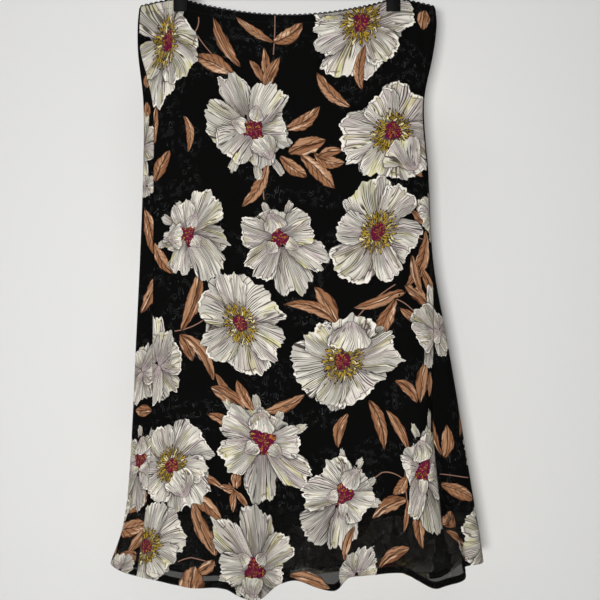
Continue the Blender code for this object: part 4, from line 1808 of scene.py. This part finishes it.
def draw_on(bm: BMesh, edges: list, way: Vector) -> list:
    """Extrude edges along a straight.

    Args:
        bm: what they are in.
        edges: the edges.
        way: which way they go, and how far.

    Returns:
        The edges at its end.
    """
    swept = bmesh.ops.extrude_edge_only(bm, edges=edges)["geom"]
    moved = only(BMVert, swept)
    bmesh.ops.translate(bm, verts=moved, vec=way)
    return [edge for edge in only(BMEdge, swept) if set(edge.verts) <= set(moved)]


def soften(bm: BMesh, edges: list, offset: float, segments: int) -> None:
    """Round edges off."""
    bmesh.ops.bevel(bm, geom=edges, offset=offset, segments=segments, profile=0.5, affect="EDGES",
                    clamp_overlap=True, material=-1)


def frame_matrix(place: Array, x_way: Array, z_way: Array) -> Matrix:
    """Find the matrix that moves a shape from the origin to a place and turns it.

    Args:
        place: the place.
        x_way: the way that its X axis points.
        z_way: the way that its Z axis points, as nearly as the X axis lets it.

    Returns:
        The matrix.
    """
    x_axis = Vector(x_way).normalized()
    y_axis = Vector(z_way).cross(x_axis).normalized()
    z_axis = x_axis.cross(y_axis)
    made = Matrix((x_axis, y_axis, z_axis)).transposed().to_4x4()
    made.translation = Vector(place)
    return made


class BentWire:
    """A round wire in a bmesh, drawn on from its end, straight or round a bend."""

    def __init__(self, bm: BMesh, radius: float, stand: Matrix, sides: int = 14) -> None:
        """Start the wire as a closed round end.

        Args:
            bm: what to make it in.
            radius: the wire's radius.
            stand: place of its first end, whose Z axis is the way that the wire goes.
            sides: how many sides its round has.
        """
        self.bm = bm
        made = bmesh.ops.create_circle(bm, segments=sides, radius=radius, cap_ends=True, matrix=stand)
        self.ring = list({edge for vert in made["verts"] for edge in vert.link_edges})

    def straight(self, way: Vector) -> None:
        """Draw the wire on along a straight."""
        self.ring = draw_on(self.bm, self.ring, way)

    def bend(self, centre: Vector, axis: Vector, degrees: float, steps: int,
             advance: Vector = Vector((0, 0, 0))) -> None:
        """Draw the wire on round a bend.

        Args:
            centre: the bend's centre.
            axis: its axis; the wire turns about it by the right hand's rule.
            degrees: how far it turns.
            steps: how many lengths the bend is made of.
            advance: how far it moves along with each length, as in a coil.
        """
        verts = list({vert for edge in self.ring for vert in edge.verts})
        swept = bmesh.ops.spin(self.bm, geom=verts + self.ring, cent=centre, axis=axis, dvec=advance,
                               angle=math.radians(degrees), steps=steps)
        self.ring = only(BMEdge, swept["geom_last"])

    def close(self) -> None:
        """Close the wire's last end."""
        bmesh.ops.edgeloop_fill(self.bm, edges=self.ring)


# Cloth

@dataclass
class ClothSheet:
    """A grid of cloth laid on the form, with its flat size known at every point."""

    name: str
    columns: int
    rows: int
    points: Array = field(repr=False)     # rows + 1 by columns + 1, from the top left, outside view
    middle: Array = field(repr=False)     # which column, as a fraction, is the flat centre line
    thickness: float = 0.45 * MM
    u: Array = field(init=False, repr=False)
    v: Array = field(init=False, repr=False)

    def __post_init__(self) -> None:
        """Unroll the sheet: u runs across from its centre line, v down from its top edge."""
        across = np.linalg.norm(np.diff(self.points, axis=1), axis=2)
        down = np.linalg.norm(np.diff(self.points, axis=0), axis=2)
        self.u = np.pad(np.cumsum(across, axis=1), ((0, 0), (1, 0)))
        self.v = np.pad(np.cumsum(down, axis=0), ((1, 0), (0, 0)))
        count = np.arange(self.columns + 1)
        centre = [np.interp(middle, count, row) for middle, row in zip(self.middle, self.u)]
        self.u -= np.array(centre)[:, None]

    def mesh(self) -> tuple[Mesh, Array, Array, Array]:
        """Make the sheet's mesh.

        Returns:
            The mesh, its vertices' places on the flat cloth, across and down, and the vertices
            of each face.
        """
        bm = bmesh.new()
        bmesh.ops.create_grid(bm, x_segments=self.columns, y_segments=self.rows, size=0.5)
        mesh = to_mesh(bm, self.name, outwards=False)
        places = np.empty(len(mesh.vertices) * 3, np.float32)
        mesh.vertices.foreach_get("co", places)
        places = places.reshape(-1, 3)
        column = np.rint((places[:, 0] + 0.5) * self.columns).astype(int)
        row = np.rint((0.5 - places[:, 1]) * self.rows).astype(int)
        mesh.vertices.foreach_set("co", self.points[row, column].astype(np.float32).ravel())
        corners = np.empty(len(mesh.loops), np.int32)
        mesh.loops.foreach_get("vertex_index", corners)
        u = self.u[row, column]
        v = self.v[row, column]
        flat = mesh.uv_layers.new(name="flat")
        flat.data.foreach_set("uv", np.stack([u[corners], v[corners]], -1).astype(np.float32).ravel())
        return mesh, u, v, corners.reshape(-1, 4)

    def thicken(self, piece: Object, inner_material: int = 0) -> None:
        """Give the sheet its thickness, inwards from its face.

        Args:
            piece: its piece.
            inner_material: how far the inner face's material is past the outer one's.
        """
        wall = piece.modifiers.new("Thickness", "SOLIDIFY")
        wall.thickness = self.thickness
        wall.offset = -1.0
        wall.material_offset = inner_material


class FlatPlaces:
    """Where places on the hanging front lie on its flat cloth."""

    step = 2 * MM
    reach = 0.34

    def __init__(self, sheet: ClothSheet) -> None:
        """Read the front panel's points onto a lattice of places across.

        Args:
            sheet: the panel's cloth.
        """
        self.lattice = np.arange(-self.reach, self.reach + self.step / 2, self.step)
        columns = []
        for points, u, v in zip(sheet.points, sheet.u, sheet.v):
            x = np.maximum.accumulate(points[:, 0] + np.arange(len(points)) * 1e-8)
            beyond = self.lattice - np.clip(self.lattice, x[0], x[-1])
            columns.append((np.interp(self.lattice, x, points[:, 2]),
                            np.interp(self.lattice, x, u) + beyond,
                            np.interp(self.lattice, x, v)))
        self.height, self.u, self.v = np.array(columns).transpose(1, 0, 2)

    def __call__(self, x: float, z: float) -> tuple[float, float]:
        """Find a flat place.

        Args:
            x: a place across, on the hanging front.
            z: its height.

        Returns:
            Where it lies, across and down.
        """
        place = (x + self.reach) / self.step
        low = int(np.clip(math.floor(place), 0, len(self.lattice) - 2))
        share = place - low
        depth, u, v = (-table[:, low] * (1 - share) - table[:, low + 1] * share
                       for table in (self.height, self.u, self.v))
        beyond = -z - float(np.clip(-z, depth[0], depth[-1]))
        return -float(np.interp(-z, depth, u)), -float(np.interp(-z, depth, v)) + beyond


class EdgePlaces:
    """Where places beside the side seams, on the hanging front, lie on the back's flat cloth."""

    def __init__(self, sheet: ClothSheet) -> None:
        """Read the back panel's two edges, the right one first."""
        self.edges = [(-sheet.points[:, end, 2], sheet.points[:, end, 0], sheet.u[:, end], sheet.v[:, end])
                      for end in (0, -1)]

    def __call__(self, x: float, z: float) -> tuple[float, float]:
        """The flat place, across and down, of a place on the hanging front."""
        depth, across, u, v = self.edges[x < 0]
        return x + float(np.interp(-z, depth, u - across)), float(np.interp(-z, depth, v))

    def clear_of(self, place: Array, margin: float) -> bool:
        """Whether a flat place lies at least this far inside both edges."""
        low, high = (float(np.interp(place[1], v, u)) for _, _, u, v in self.edges)
        return low + margin < place[0] < high - margin


@dataclass
class PrintedPanels:
    """The front and back of printed crepe, sewn at the sides and turned up at the hem."""

    columns: tuple[int, int] = (147, 158)
    rows: tuple[int, int] = (263, 240)
    thickness: float = 0.45 * MM
    sheer_below: float = -0.778           # under the lining's hem the cloth is seen through
    seam_gap: float = 0.05 * MM
    seam_dip: float = 0.6 * MM            # the panels' edges turn inwards at the seams
    seam_reach: float = 1.6 * MM
    hem_turning: float = 9 * MM
    turning_inset: float = 0.75 * MM
    front_flat: tuple[float, float] = (0.457, 0.79)
    front_area: float = 0.295
    back_flat: tuple[float, float] = (0.722, 0.81)
    back_area: float = 0.386

    def turns(self, side: Side, drop: Array) -> tuple[Array, Array]:
        """Find a panel's two edges.

        Args:
            side: front or back.
            drop: drops along them.

        Returns:
            Turns of its first and of its last edge.
        """
        left = FORM.seam_turn("left", drop)
        right = FORM.seam_turn("right", drop)
        first, last = (left, right) if side is Side.FRONT else (right, left + 2 * math.pi)
        first = first + FORM.turn_of_gap(first, drop, self.seam_gap / 2)
        return first, last - FORM.turn_of_gap(last, drop, self.seam_gap / 2)

    def sheet(self, side: Side, drop: Array, inset: float = 0.0, name: str = "") -> ClothSheet:
        """Lay a panel, or a strip of it, on the form.

        Args:
            side: front or back.
            drop: drops of its rows, from the top.
            inset: how far inside the panel's face it lies.
            name: its name, if it isn't the panel itself.

        Returns:
            The sheet.
        """
        columns = self.columns[side is Side.BACK]
        first, last = self.turns(side, drop)
        share = np.linspace(0, 1, columns + 1)
        turn = first[:, None] + (last - first)[:, None] * share
        drops = np.broadcast_to(drop[:, None], turn.shape)
        points = FORM.point(turn, drops, 1.0, 1.0)
        rest = np.linalg.norm(np.diff(points, axis=1), axis=2).sum(axis=1)[:, None] * share
        to_edge = np.minimum(rest, rest[:, -1:] - rest)
        dip = self.seam_dip * np.exp(-(to_edge / self.seam_reach) ** 2)
        points = points - FORM.normal(turn, drops, 1.0, 1.0) * (dip + inset)[..., None]
        middle = math.pi / 2 if side is Side.FRONT else 3 * math.pi / 2
        sheet = ClothSheet(name or f"{side}_panel", columns, len(drop) - 1, points,
                           (middle - first) / (last - first) * columns, self.thickness)
        self.take_tucks(side, sheet, turn, drops)
        return sheet

    @staticmethod
    def take_tucks(side: Side, sheet: ClothSheet, turn: Array, drop: Array) -> None:
        """Move the flat places beyond each tuck by the strip of cloth that it hides.

        Args:
            side: front or back.
            sheet: the panel's cloth.
            turn: its points' turns round the tube.
            drop: their drops.
        """
        tucks = FRONT_TUCKS if side is Side.FRONT else BACK_TUCKS
        x = FORM.across(turn, np.clip(drop, 0, 1))
        way = 1 if side is Side.FRONT else -1
        for tuck, beyond, strength in FORM.tuck_windows(tucks, x, drop):
            hidden = tuck.hidden * MM * strength * smooth(beyond / (1.6 * MM))
            sheet.u += way * math.copysign(1, tuck.top) * hidden

    def build(self) -> None:
        """Make both panels with their print, and their turned hems."""
        for side, seed in ((Side.FRONT, 11), (Side.BACK, 29)):
            drop = np.linspace(0, 1, self.rows[side is Side.BACK] + 1)
            sheet = self.sheet(side, drop)
            layout = PrintLayout(seed)
            if side is Side.FRONT:
                flat_of = FlatPlaces(sheet)
                layout.place_all(HANGING_PRINT, flat_of, 0)
            else:
                edges = EdgePlaces(sheet)
                for turn, shift in enumerate(BACK_SHIFTS):
                    layout.place_all(HANGING_PRINT, flat_of, 100 * turn, shift, edges.clear_of)
                layout.place_all(SIDE_PRINT, edges, 300)
                layout.place_all(BACK_PRINT, lambda x, z: (x, -z), 400)
            panel = self.printed(sheet, layout, sheet.name)
            self.show_through(panel.data)
            turning = self.printed(self.turning(side, sheet), layout)

    @staticmethod
    def printed(sheet: ClothSheet, layout: PrintLayout, stands_for: str = "") -> Object:
        """Make a piece of printed crepe.

        Args:
            sheet: its cloth.
            layout: the panel's print.
            stands_for: the CAD node that it replaces, if any.

        Returns:
            The piece.
        """
        plot = InkPlot(*sheet.mesh())
        plot.plot_all(layout)
        made = add_piece(sheet.name, plot.mesh, CREPE_FACES, stands_for, 180.0)
        sheet.thicken(made, 2)
        return made

    def show_through(self, mesh: Mesh) -> None:
        """Give the faces below the lining's hem the sheer material.

        Args:
            mesh: the panel's mesh.
        """
        centres = np.empty(len(mesh.polygons) * 3, np.float32)
        mesh.polygons.foreach_get("center", centres)
        mesh.polygons.foreach_set("material_index", (centres[2::3] < self.sheer_below).astype(np.int32))

    def turning(self, side: Side, sheet: ClothSheet) -> ClothSheet:
        """Lay the strip turned up inside a panel's hem, its printed side inwards.

        Args:
            side: front or back.
            sheet: the panel's cloth.

        Returns:
            The strip.
        """
        drop = 1 - np.linspace(0.0007, self.hem_turning / sheet.v[-1].mean(), 4)
        strip = self.sheet(side, drop, self.thickness + self.turning_inset, f"{side}_hem_turning")
        foot = np.broadcast_to(sheet.v[-1], strip.v.shape)
        strip.v = foot + (1 - drop)[:, None] * foot
        return strip


@dataclass
class SatinLinings:
    """The lining's front and back, level at the hem and shorter than the crepe."""

    columns: int = 96
    rows: int = 110
    inset: float = 1.9 * MM
    ease: float = 2.4 * MM
    ease_drop: float = 0.10
    start: float = 12.5 * MM
    hem_z: float = -790 * MM
    ridges: float = 0.45
    thickness: float = 0.3 * MM
    flat: tuple[float, float] = (0.47, 0.68)
    area: float = 0.277

    def build(self) -> None:
        """Make both halves."""
        for side, first in ((Side.FRONT, 0.0), (Side.BACK, math.pi)):
            edge = FORM.turn_of_gap(np.array([first]), np.array([0.5]), GAP)[0]
            turn = first + edge + (math.pi - 2 * edge) * np.linspace(0, 1, self.columns + 1)
            top = FORM.waist_height(FORM.across(turn, np.zeros_like(turn)))
            length = top - FORM.hem_height(turn)
            share = np.linspace(0, 1, self.rows + 1)[:, None]
            drop = self.start / length * (1 - share) + (top - self.hem_z) / length * share
            inset = self.inset + self.ease * smooth(drop / self.ease_drop)
            points = FORM.inset(np.broadcast_to(turn, drop.shape), drop, inset, self.ridges)
            sheet = ClothSheet(f"{side}_lining", self.columns, self.rows, points,
                               np.full(self.rows + 1, self.columns / 2), self.thickness)
            made = add_piece(sheet.name, sheet.mesh()[0], [SatinLining()], sheet.name, 180.0)
            sheet.thicken(made)


@dataclass
class LoopedElastic:
    """The elastic inside the waist edge, with small loops along its top."""

    columns: int = 200
    rows: int = 4
    inset: float = 1.9 * MM
    depth: float = 11 * MM
    rise: float = 1.9 * MM                # how far the band itself stands above the crepe
    thickness: float = 0.9 * MM
    flat: tuple[float, float] = (0.42, 0.0129)
    loop_pitch: float = 6.8 * MM
    loop_radius: float = 2.7 * MM
    loop_height: float = 2.6 * MM
    loop_sunk: float = 1.5 * MM           # how far its feet lie below the band's edge
    cord: float = 0.6 * MM                # radius of a loop's cord

    def half(self, side: Side, first: float) -> tuple[ClothSheet, Array]:
        """Lay half of the band on the form.

        Args:
            side: front or back.
            first: the turn at its first end.

        Returns:
            The sheet and its columns' turns.
        """
        edge = FORM.turn_of_gap(np.array([first]), np.array([0.0]), GAP)[0]
        turn = first + edge + (math.pi - 2 * edge) * np.linspace(0, 1, self.columns + 1)
        length = FORM.waist_height(FORM.across(turn, np.zeros_like(turn))) - FORM.hem_height(turn)
        share = np.linspace(0, 1, self.rows + 1)[:, None]
        drop = (-self.rise * (1 - share) + self.depth * share) / length
        points = FORM.inset(np.broadcast_to(turn, drop.shape), drop, np.full(drop.shape, self.inset))
        sheet = ClothSheet(f"{side}_elastic", self.columns, self.rows, points,
                           np.full(self.rows + 1, self.columns / 2), self.thickness)
        return sheet, turn

    def loop(self) -> Mesh:
        """Make one loop, along X and up Z, with its feet at the origin's height.

        Returns:
            Its mesh.
        """
        bm = bmesh.new()
        wire = BentWire(bm, self.cord, Matrix.Translation((self.loop_radius, 0, 0)), 6)
        wire.bend(Vector((0, 0, 0)), Vector((0, -1, 0)), 180, 8)
        wire.close()
        bmesh.ops.scale(bm, vec=(1, 1.3, self.loop_height / self.loop_radius), verts=bm.verts)
        bmesh.ops.translate(bm, vec=(0, 0, -self.loop_sunk), verts=bm.verts)
        return to_mesh(bm, "loop")

    def loops(self, side: Side, sheet: ClothSheet, turn: Array) -> Object:
        """Make the loops along the band's top edge.

        Args:
            side: front or back.
            sheet: the half band.
            turn: its columns' turns.

        Returns:
            Their piece.
        """
        bm = bmesh.new()
        one = self.loop()
        length = sheet.u[0, -1] - sheet.u[0, 0]
        count = round(length / self.loop_pitch)
        out = FORM.normal(turn, np.zeros_like(turn))
        for i in range(count):
            place = sheet.u[0, 0] + length * (i + 0.5) / count
            column = np.interp(place, sheet.u[0], np.arange(self.columns + 1))
            low = min(int(column), self.columns - 1)
            along = sheet.points[0, low + 1] - sheet.points[0, low]
            foot = sheet.points[0, low] + along * (column - low) - out[low] * self.thickness * 0.5
            up = Vector(out[low]).cross(Vector(along))
            known = len(bm.verts)
            bm.from_mesh(one)
            bm.verts.ensure_lookup_table()
            bmesh.ops.transform(bm, matrix=frame_matrix(foot, along, up), verts=bm.verts[known:])
        mesh = to_mesh(bm, f"{side}_picot_loops")
        return add_piece(f"{side}_picot_loops", mesh, [SpunThread()])

    def build(self) -> None:
        """Make both halves and their loops."""
        for side, first in ((Side.FRONT, 0.0), (Side.BACK, math.pi)):
            sheet, turn = self.half(side, first)
            made = add_piece(sheet.name, sheet.mesh()[0], [WovenElastic()], sheet.name, 60.0)
            sheet.thicken(made)
            loops = self.loops(side, sheet, turn)


@dataclass
class SewnRow:
    """A row of stitches all round the tube."""

    name: str
    above_hem: bool                       # measured up from the hem, not down from the waist
    distance: float
    pitch: float
    length: float
    thread: float = 0.38 * MM             # radius
    sunk: float = 0.05 * MM
    samples: int = 1500                   # places round the tube that stitches can take

    def build(self) -> Object:
        """Make the stitches, each a slim bead half sunk in the cloth.

        Returns:
            Their piece.
        """
        turn = np.linspace(0, 2 * math.pi, self.samples)
        top = FORM.waist_height(FORM.across(turn, np.zeros_like(turn)))
        share = self.distance / (top - FORM.hem_height(turn))
        drop = 1 - share if self.above_hem else share
        points = FORM.point(turn, drop, 1.0, 1.0)
        along = np.pad(np.cumsum(np.linalg.norm(np.diff(points, axis=0), axis=1)), (1, 0))
        count = round(along[-1] / self.pitch)
        index = np.searchsorted(along, (np.arange(count) + 0.5) * along[-1] / count)
        normal = FORM.normal(turn, drop, 1.0, 1.0)
        bm = bmesh.new()
        size = Matrix.Diagonal((self.length / 2, self.thread, self.thread, 1.0))
        for i in index:
            way = points[(i + 1) % len(turn)] - points[i - 1]
            place = frame_matrix(points[i] - normal[i] * self.sunk, way, normal[i])
            bmesh.ops.create_uvsphere(bm, u_segments=6, v_segments=4, radius=1.0, matrix=place @ size)
        return add_piece(self.name, to_mesh(bm, self.name), [SpunThread()], "", 180.0)


# Hanger

@dataclass
class HangerBar:
    """The moulded bar: round ends, softened edges and a shallow channel in each face."""

    length: float = 360 * MM
    depth: float = 7 * MM
    height: float = 12 * MM
    z: float = -86 * MM
    edge: float = 1.1 * MM
    border: float = 2.2 * MM              # from the bar's edge to its channel
    channel: float = 0.8 * MM

    def build(self) -> None:
        """Make the bar."""
        bm = bmesh.new()
        size = Matrix.Diagonal((self.length, self.depth, self.height, 1.0))
        bmesh.ops.create_cube(bm, size=1.0, matrix=Matrix.Translation((0, 0, self.z)) @ size)
        ends = [edge for edge in bm.edges if abs(edge.verts[0].co.y - edge.verts[1].co.y) > self.depth / 2]
        soften(bm, ends, self.height * 0.46, 10)
        faces = [face for face in bm.faces if abs(face.normal.y) > 0.9]
        bmesh.ops.inset_region(bm, faces=faces, thickness=self.border, use_even_offset=True)
        bmesh.ops.inset_region(bm, faces=faces, thickness=self.channel * 0.5, depth=-self.channel,
                               use_even_offset=True)
        sharp = [edge for edge in bm.edges if edge.calc_face_angle(0) > math.radians(50)]
        soften(bm, sharp, self.edge, 4)
        add_piece("bar", to_mesh(bm, "bar"), [MouldedPlastic()], "hanger_bar")


@dataclass
class HookCollar:
    """The turned collar that holds the hook's stem."""

    radius: float = 6 * MM
    top_share: float = 0.72
    top_z: float = -66 * MM
    base_z: float = -79.7 * MM
    bore: float = 1.95 * MM
    groove: float = 0.5 * MM

    def build(self) -> None:
        """Make the collar by spinning its outline."""
        height = self.top_z - self.base_z
        outline = ((self.bore, 0.0), (self.radius - 0.6 * MM, 0.0), (self.radius, 0.6 * MM),
                   (self.radius * 0.985, height * 0.20), (self.radius * 0.965 - self.groove, height * 0.24),
                   (self.radius * 0.955 - self.groove, height * 0.31), (self.radius * 0.95, height * 0.35),
                   (self.radius * self.top_share + 0.25 * MM, height - 0.9 * MM),
                   (self.radius * self.top_share - 0.7 * MM, height), (self.bore, height - 0.4 * MM))
        bm = bmesh.new()
        verts = [bm.verts.new((x, 0, self.base_z + z)) for x, z in outline]
        edges = [bm.edges.new(pair) for pair in zip(verts, verts[1:] + verts[:1])]
        bmesh.ops.spin(bm, geom=verts + edges, cent=(0, 0, 0), axis=(0, 0, 1), angle=2 * math.pi,
                       steps=40, use_merge=True)
        add_piece("collar", to_mesh(bm, "collar"), [MouldedPlastic()], "hanger_collar", 35.0)


@dataclass
class WireHook:
    """The steel hook: a stem, a bend out, the round that hangs on a rail, and a ball tip."""

    wire: float = 1.8 * MM
    inner: float = 20 * MM
    foot_z: float = -65.7 * MM
    first: float = -50.0                  # degrees round the hook's centre, from the right
    last: float = 196.0
    neck_radius: float = 18 * MM
    tip: float = 2.5 * MM

    def build(self) -> None:
        """Draw the wire up its stem, round its neck and round the hook."""
        radius = self.inner + self.wire
        centre = Vector((0, 0, -self.inner))
        start = math.radians(self.first)
        heading = Vector((-math.sin(start), 0, math.cos(start)))
        join = centre + Vector((math.cos(start), 0, math.sin(start))) * radius
        turned = Vector((1 - heading.z, 0, heading.x)) * self.neck_radius
        run = (join.x - turned.x) / heading.x
        bend_z = join.z - run * heading.z - turned.z
        bm = bmesh.new()
        wire = BentWire(bm, self.wire, Matrix.Translation((0, 0, self.foot_z)))
        wire.straight(Vector((0, 0, bend_z - self.foot_z)))
        back = Vector((0, -1, 0))
        wire.bend(Vector((self.neck_radius, 0, bend_z)), back, self.first, 10)
        wire.straight(heading * run)
        wire.bend(centre, back, self.last - self.first, 60)
        wire.close()
        end = math.radians(self.last)
        tip = centre + Vector((math.cos(end), 0, math.sin(end))) * radius
        bmesh.ops.create_uvsphere(bm, u_segments=20, v_segments=12, radius=self.tip,
                                  matrix=Matrix.Translation(tip))
        add_piece("hook", to_mesh(bm, "hook"), [DrawnSteel()], "hanger_hook", 50.0)


@dataclass
class SpringClip:
    """A clip on the bar: two jaws flat on the cloth, ribbed finger grips and a coil between them."""

    name: str
    x: float
    width: float = 19 * MM
    bottom_z: float = -118 * MM
    inner: float = 3.8 * MM               # half of the room between the jaws
    edge: float = 0.6 * MM
    coil_rise: float = 43.5 * MM
    coil_radius: float = 2.65 * MM
    coil_wire: float = 0.55 * MM
    coil_length: float = 7.8 * MM
    coil_turns: int = 5
    leg_lean: float = 24.2                # degrees that the coil's legs lean out
    leg: float = 7 * MM
    grip_ribs: int = 5

    def jaw(self, side: Side) -> None:
        """Make one jaw.

        Args:
            side: front or back.
        """
        way = -1 if side is Side.FRONT else 1
        profile = (
            (self.inner, 0), (self.inner, 20 * MM), (self.inner + GAP, 22 * MM), (self.inner + GAP, 39 * MM),
            (6.6 * MM, 50 * MM), (8.9 * MM, 50 * MM), (6.3 * MM, 38 * MM), (6.0 * MM, 0),
        )
        bm = bmesh.new()
        verts = [bm.verts.new((self.x - self.width / 2, way * y, self.bottom_z + z)) for y, z in profile]
        swept = bmesh.ops.extrude_face_region(bm, geom=[bm.faces.new(verts)], use_keep_orig=True)
        bmesh.ops.translate(bm, verts=only(BMVert, swept["geom"]), vec=(self.width, 0, 0))
        bmesh.ops.recalc_face_normals(bm, faces=bm.faces)
        upright = [edge for edge in bm.edges if edge.calc_face_angle(0) > math.radians(80)
                   and abs(edge.verts[0].co.x - edge.verts[1].co.x) < MM]
        soften(bm, upright, self.edge, 3)
        across = [edge for edge in bm.edges if edge.calc_face_angle(0) > math.radians(60)]
        soften(bm, across, self.edge * 0.5, 2)
        lean = way * math.atan2(2.6, 12)
        for i in range(self.grip_ribs):
            share = (i + 0.7) / (self.grip_ribs + 0.3)
            place = Matrix.Translation((self.x, way * (6.3 + 2.6 * share) * MM,
                                        self.bottom_z + (38 + 12 * share) * MM))
            size = Matrix.Diagonal((self.width - 4 * MM, 1.1 * MM, 0.9 * MM, 1.0))
            made = bmesh.ops.create_cube(bm, size=1.0, matrix=place @ Matrix.Rotation(-lean, 4, "X") @ size)
            edges = list({edge for vert in made["verts"] for edge in vert.link_edges})
            soften(bm, edges, 0.3 * MM, 2)
        mesh = to_mesh(bm, f"{self.name}_{side}_jaw")
        add_piece(f"{self.name}_{side}_jaw", mesh, [MouldedPlastic()],
                  f"clip_{self.name}_{side}_jaw", 30.0)

    def coil(self) -> None:
        """Make the spring, from one leg round its coil to the other."""
        lean = math.radians(self.leg_lean)
        centre = Vector((self.x - self.coil_length / 2, 0, self.bottom_z + self.coil_rise))
        touch = centre + Vector((0, -math.cos(lean), -math.sin(lean))) * self.coil_radius
        down = Vector((0, math.sin(lean), -math.cos(lean)))
        sweep = 180 - 2 * self.leg_lean + 360 * self.coil_turns
        steps = 18 * self.coil_turns + 8
        bm = bmesh.new()
        stand = frame_matrix(touch - down * self.leg, Vector((1, 0, 0)), down)
        wire = BentWire(bm, self.coil_wire, stand, 9)
        wire.straight(down * self.leg)
        wire.bend(centre, Vector((1, 0, 0)), sweep, steps, Vector((self.coil_length / steps, 0, 0)))
        wire.straight(Vector((0, math.sin(lean), math.cos(lean))) * self.leg)
        wire.close()
        mesh = to_mesh(bm, f"{self.name}_spring")
        add_piece(f"{self.name}_spring", mesh, [DrawnSteel()], f"clip_{self.name}_spring", 50.0)

    def build(self) -> None:
        """Make both jaws and the spring."""
        for side in Side:
            self.jaw(side)
        self.coil()


# Studio

@dataclass
class Studio:
    """A pale wall and floor, three soft lights and a level camera."""

    eye: tuple[float, float, float] = (0.01755, -1.1, -0.506)
    view_height: float = 0.81             # height of what the camera shows, in the skirt's middle plane
    sensor: float = 36.0
    wall_y: float = 0.064
    floor_z: float = -1.5
    room: float = 3.2                     # half of its width
    depth: float = 3.5
    cove: float = 0.30                    # radius between wall and floor

    def backdrop(self) -> None:
        """Make the wall and floor as one sheet with a rounded corner."""
        bm = bmesh.new()
        top = 1.6
        foot = self.floor_z + self.cove
        verts = [bm.verts.new((x, self.wall_y, top)) for x in (-self.room, self.room)]
        ring = [bm.edges.new(verts)]
        ring = draw_on(bm, ring, Vector((0, 0, foot - top)))
        ends = list({vert for edge in ring for vert in edge.verts})
        swept = bmesh.ops.spin(bm, geom=ends + ring, cent=(0, self.wall_y - self.cove, foot),
                               axis=(1, 0, 0), angle=-math.pi / 2, steps=16)
        ring = only(BMEdge, swept["geom_last"])
        draw_on(bm, ring, Vector((0, -self.depth, 0)))
        bmesh.ops.remove_doubles(bm, verts=bm.verts, dist=1e-5)
        bmesh.ops.recalc_face_normals(bm, faces=bm.faces)
        bm.faces.ensure_lookup_table()
        if bm.faces[0].normal.y > 0:
            bmesh.ops.reverse_faces(bm, faces=bm.faces)
        mesh = to_mesh(bm, "backdrop", outwards=False)
        mesh.shade_smooth()
        mesh.materials.append(WallPaint().material())
        made = bpy.data.objects.new("backdrop", mesh)
        bpy.context.scene.collection.objects.link(made)

    @staticmethod
    def lamp(name: str, place: tuple[float, float, float], aim: tuple[float, float, float],
             size: tuple[float, float], power: float, colour: Colour) -> None:
        """Stand a soft box and turn it to its aim.

        Args:
            name: the light's name.
            place: where it stands.
            aim: what it points at.
            size: its width and height.
            power: its power in watts.
            colour: its colour.
        """
        light = bpy.data.lights.new(name, "AREA")
        light.shape = "RECTANGLE"
        light.size, light.size_y = size
        light.energy = power
        light.spread = math.radians(100)
        light.color = colour
        made = bpy.data.objects.new(name, light)
        made.location = place
        made.rotation_euler = (Vector(aim) - Vector(place)).to_track_quat("-Z", "Y").to_euler()
        bpy.context.scene.collection.objects.link(made)

    def build(self) -> None:
        """Make the backdrop, the lights, the world and the camera."""
        self.backdrop()
        warm = (1.0, 0.995, 0.985)
        self.lamp("key light", (-0.45, -2.50, -0.80), (0.0, 0.0, -0.48), (0.7, 0.4), 17.0, warm)
        self.lamp("wall wash", (-0.25, -0.55, 1.30), (-0.10, 0.06, -0.20), (1.8, 0.2), 4.5, (1.0, 1.0, 1.0))
        self.lamp("back light", (0.75, 2.45, 0.35), (0.0, 0.0, -0.45), (1.8, 1.8), 22.0, warm)
        scene = bpy.context.scene
        world = bpy.data.worlds.new("Room light")
        world.use_nodes = True
        background = world.node_tree.nodes["Background"]
        background.inputs["Color"].default_value = (1.0, 1.0, 1.0, 1.0)
        lit = Wire(world.node_tree, world.node_tree.nodes.new("ShaderNodeLightPath").outputs["Is Camera Ray"])
        connect(world.node_tree, lit * 0.5 + 0.08, background.inputs["Strength"])
        scene.world = world
        scene.view_settings.view_transform = "Standard"
        camera = bpy.data.cameras.new("camera")
        camera.sensor_width = self.sensor
        camera.lens = self.sensor * -self.eye[1] / self.view_height
        made = bpy.data.objects.new("camera", camera)
        made.location = self.eye
        made.rotation_euler = (math.pi / 2, 0.0, 0.0)
        scene.collection.objects.link(made)
        scene.camera = made


# The whole part

def main() -> None:
    """Build the skirt, its hanger and the studio."""
    logging.basicConfig(level=logging.INFO, format="%(name)s: %(message)s")
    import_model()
    PrintedPanels().build()
    SatinLinings().build()
    LoopedElastic().build()
    SewnRow("waist_stitching", False, 10.2 * MM, 4.2 * MM, 3.0 * MM).build()
    SewnRow("hem_stitching", True, 8.6 * MM, 3.2 * MM, 2.3 * MM).build()
    HangerBar().build()
    HookCollar().build()
    WireHook().build()
    for name, x in (("left", -FORM.clip_x), ("right", FORM.clip_x)):
        SpringClip(name, x).build()
    Studio().build()


if __name__ == "__main__":
    main()
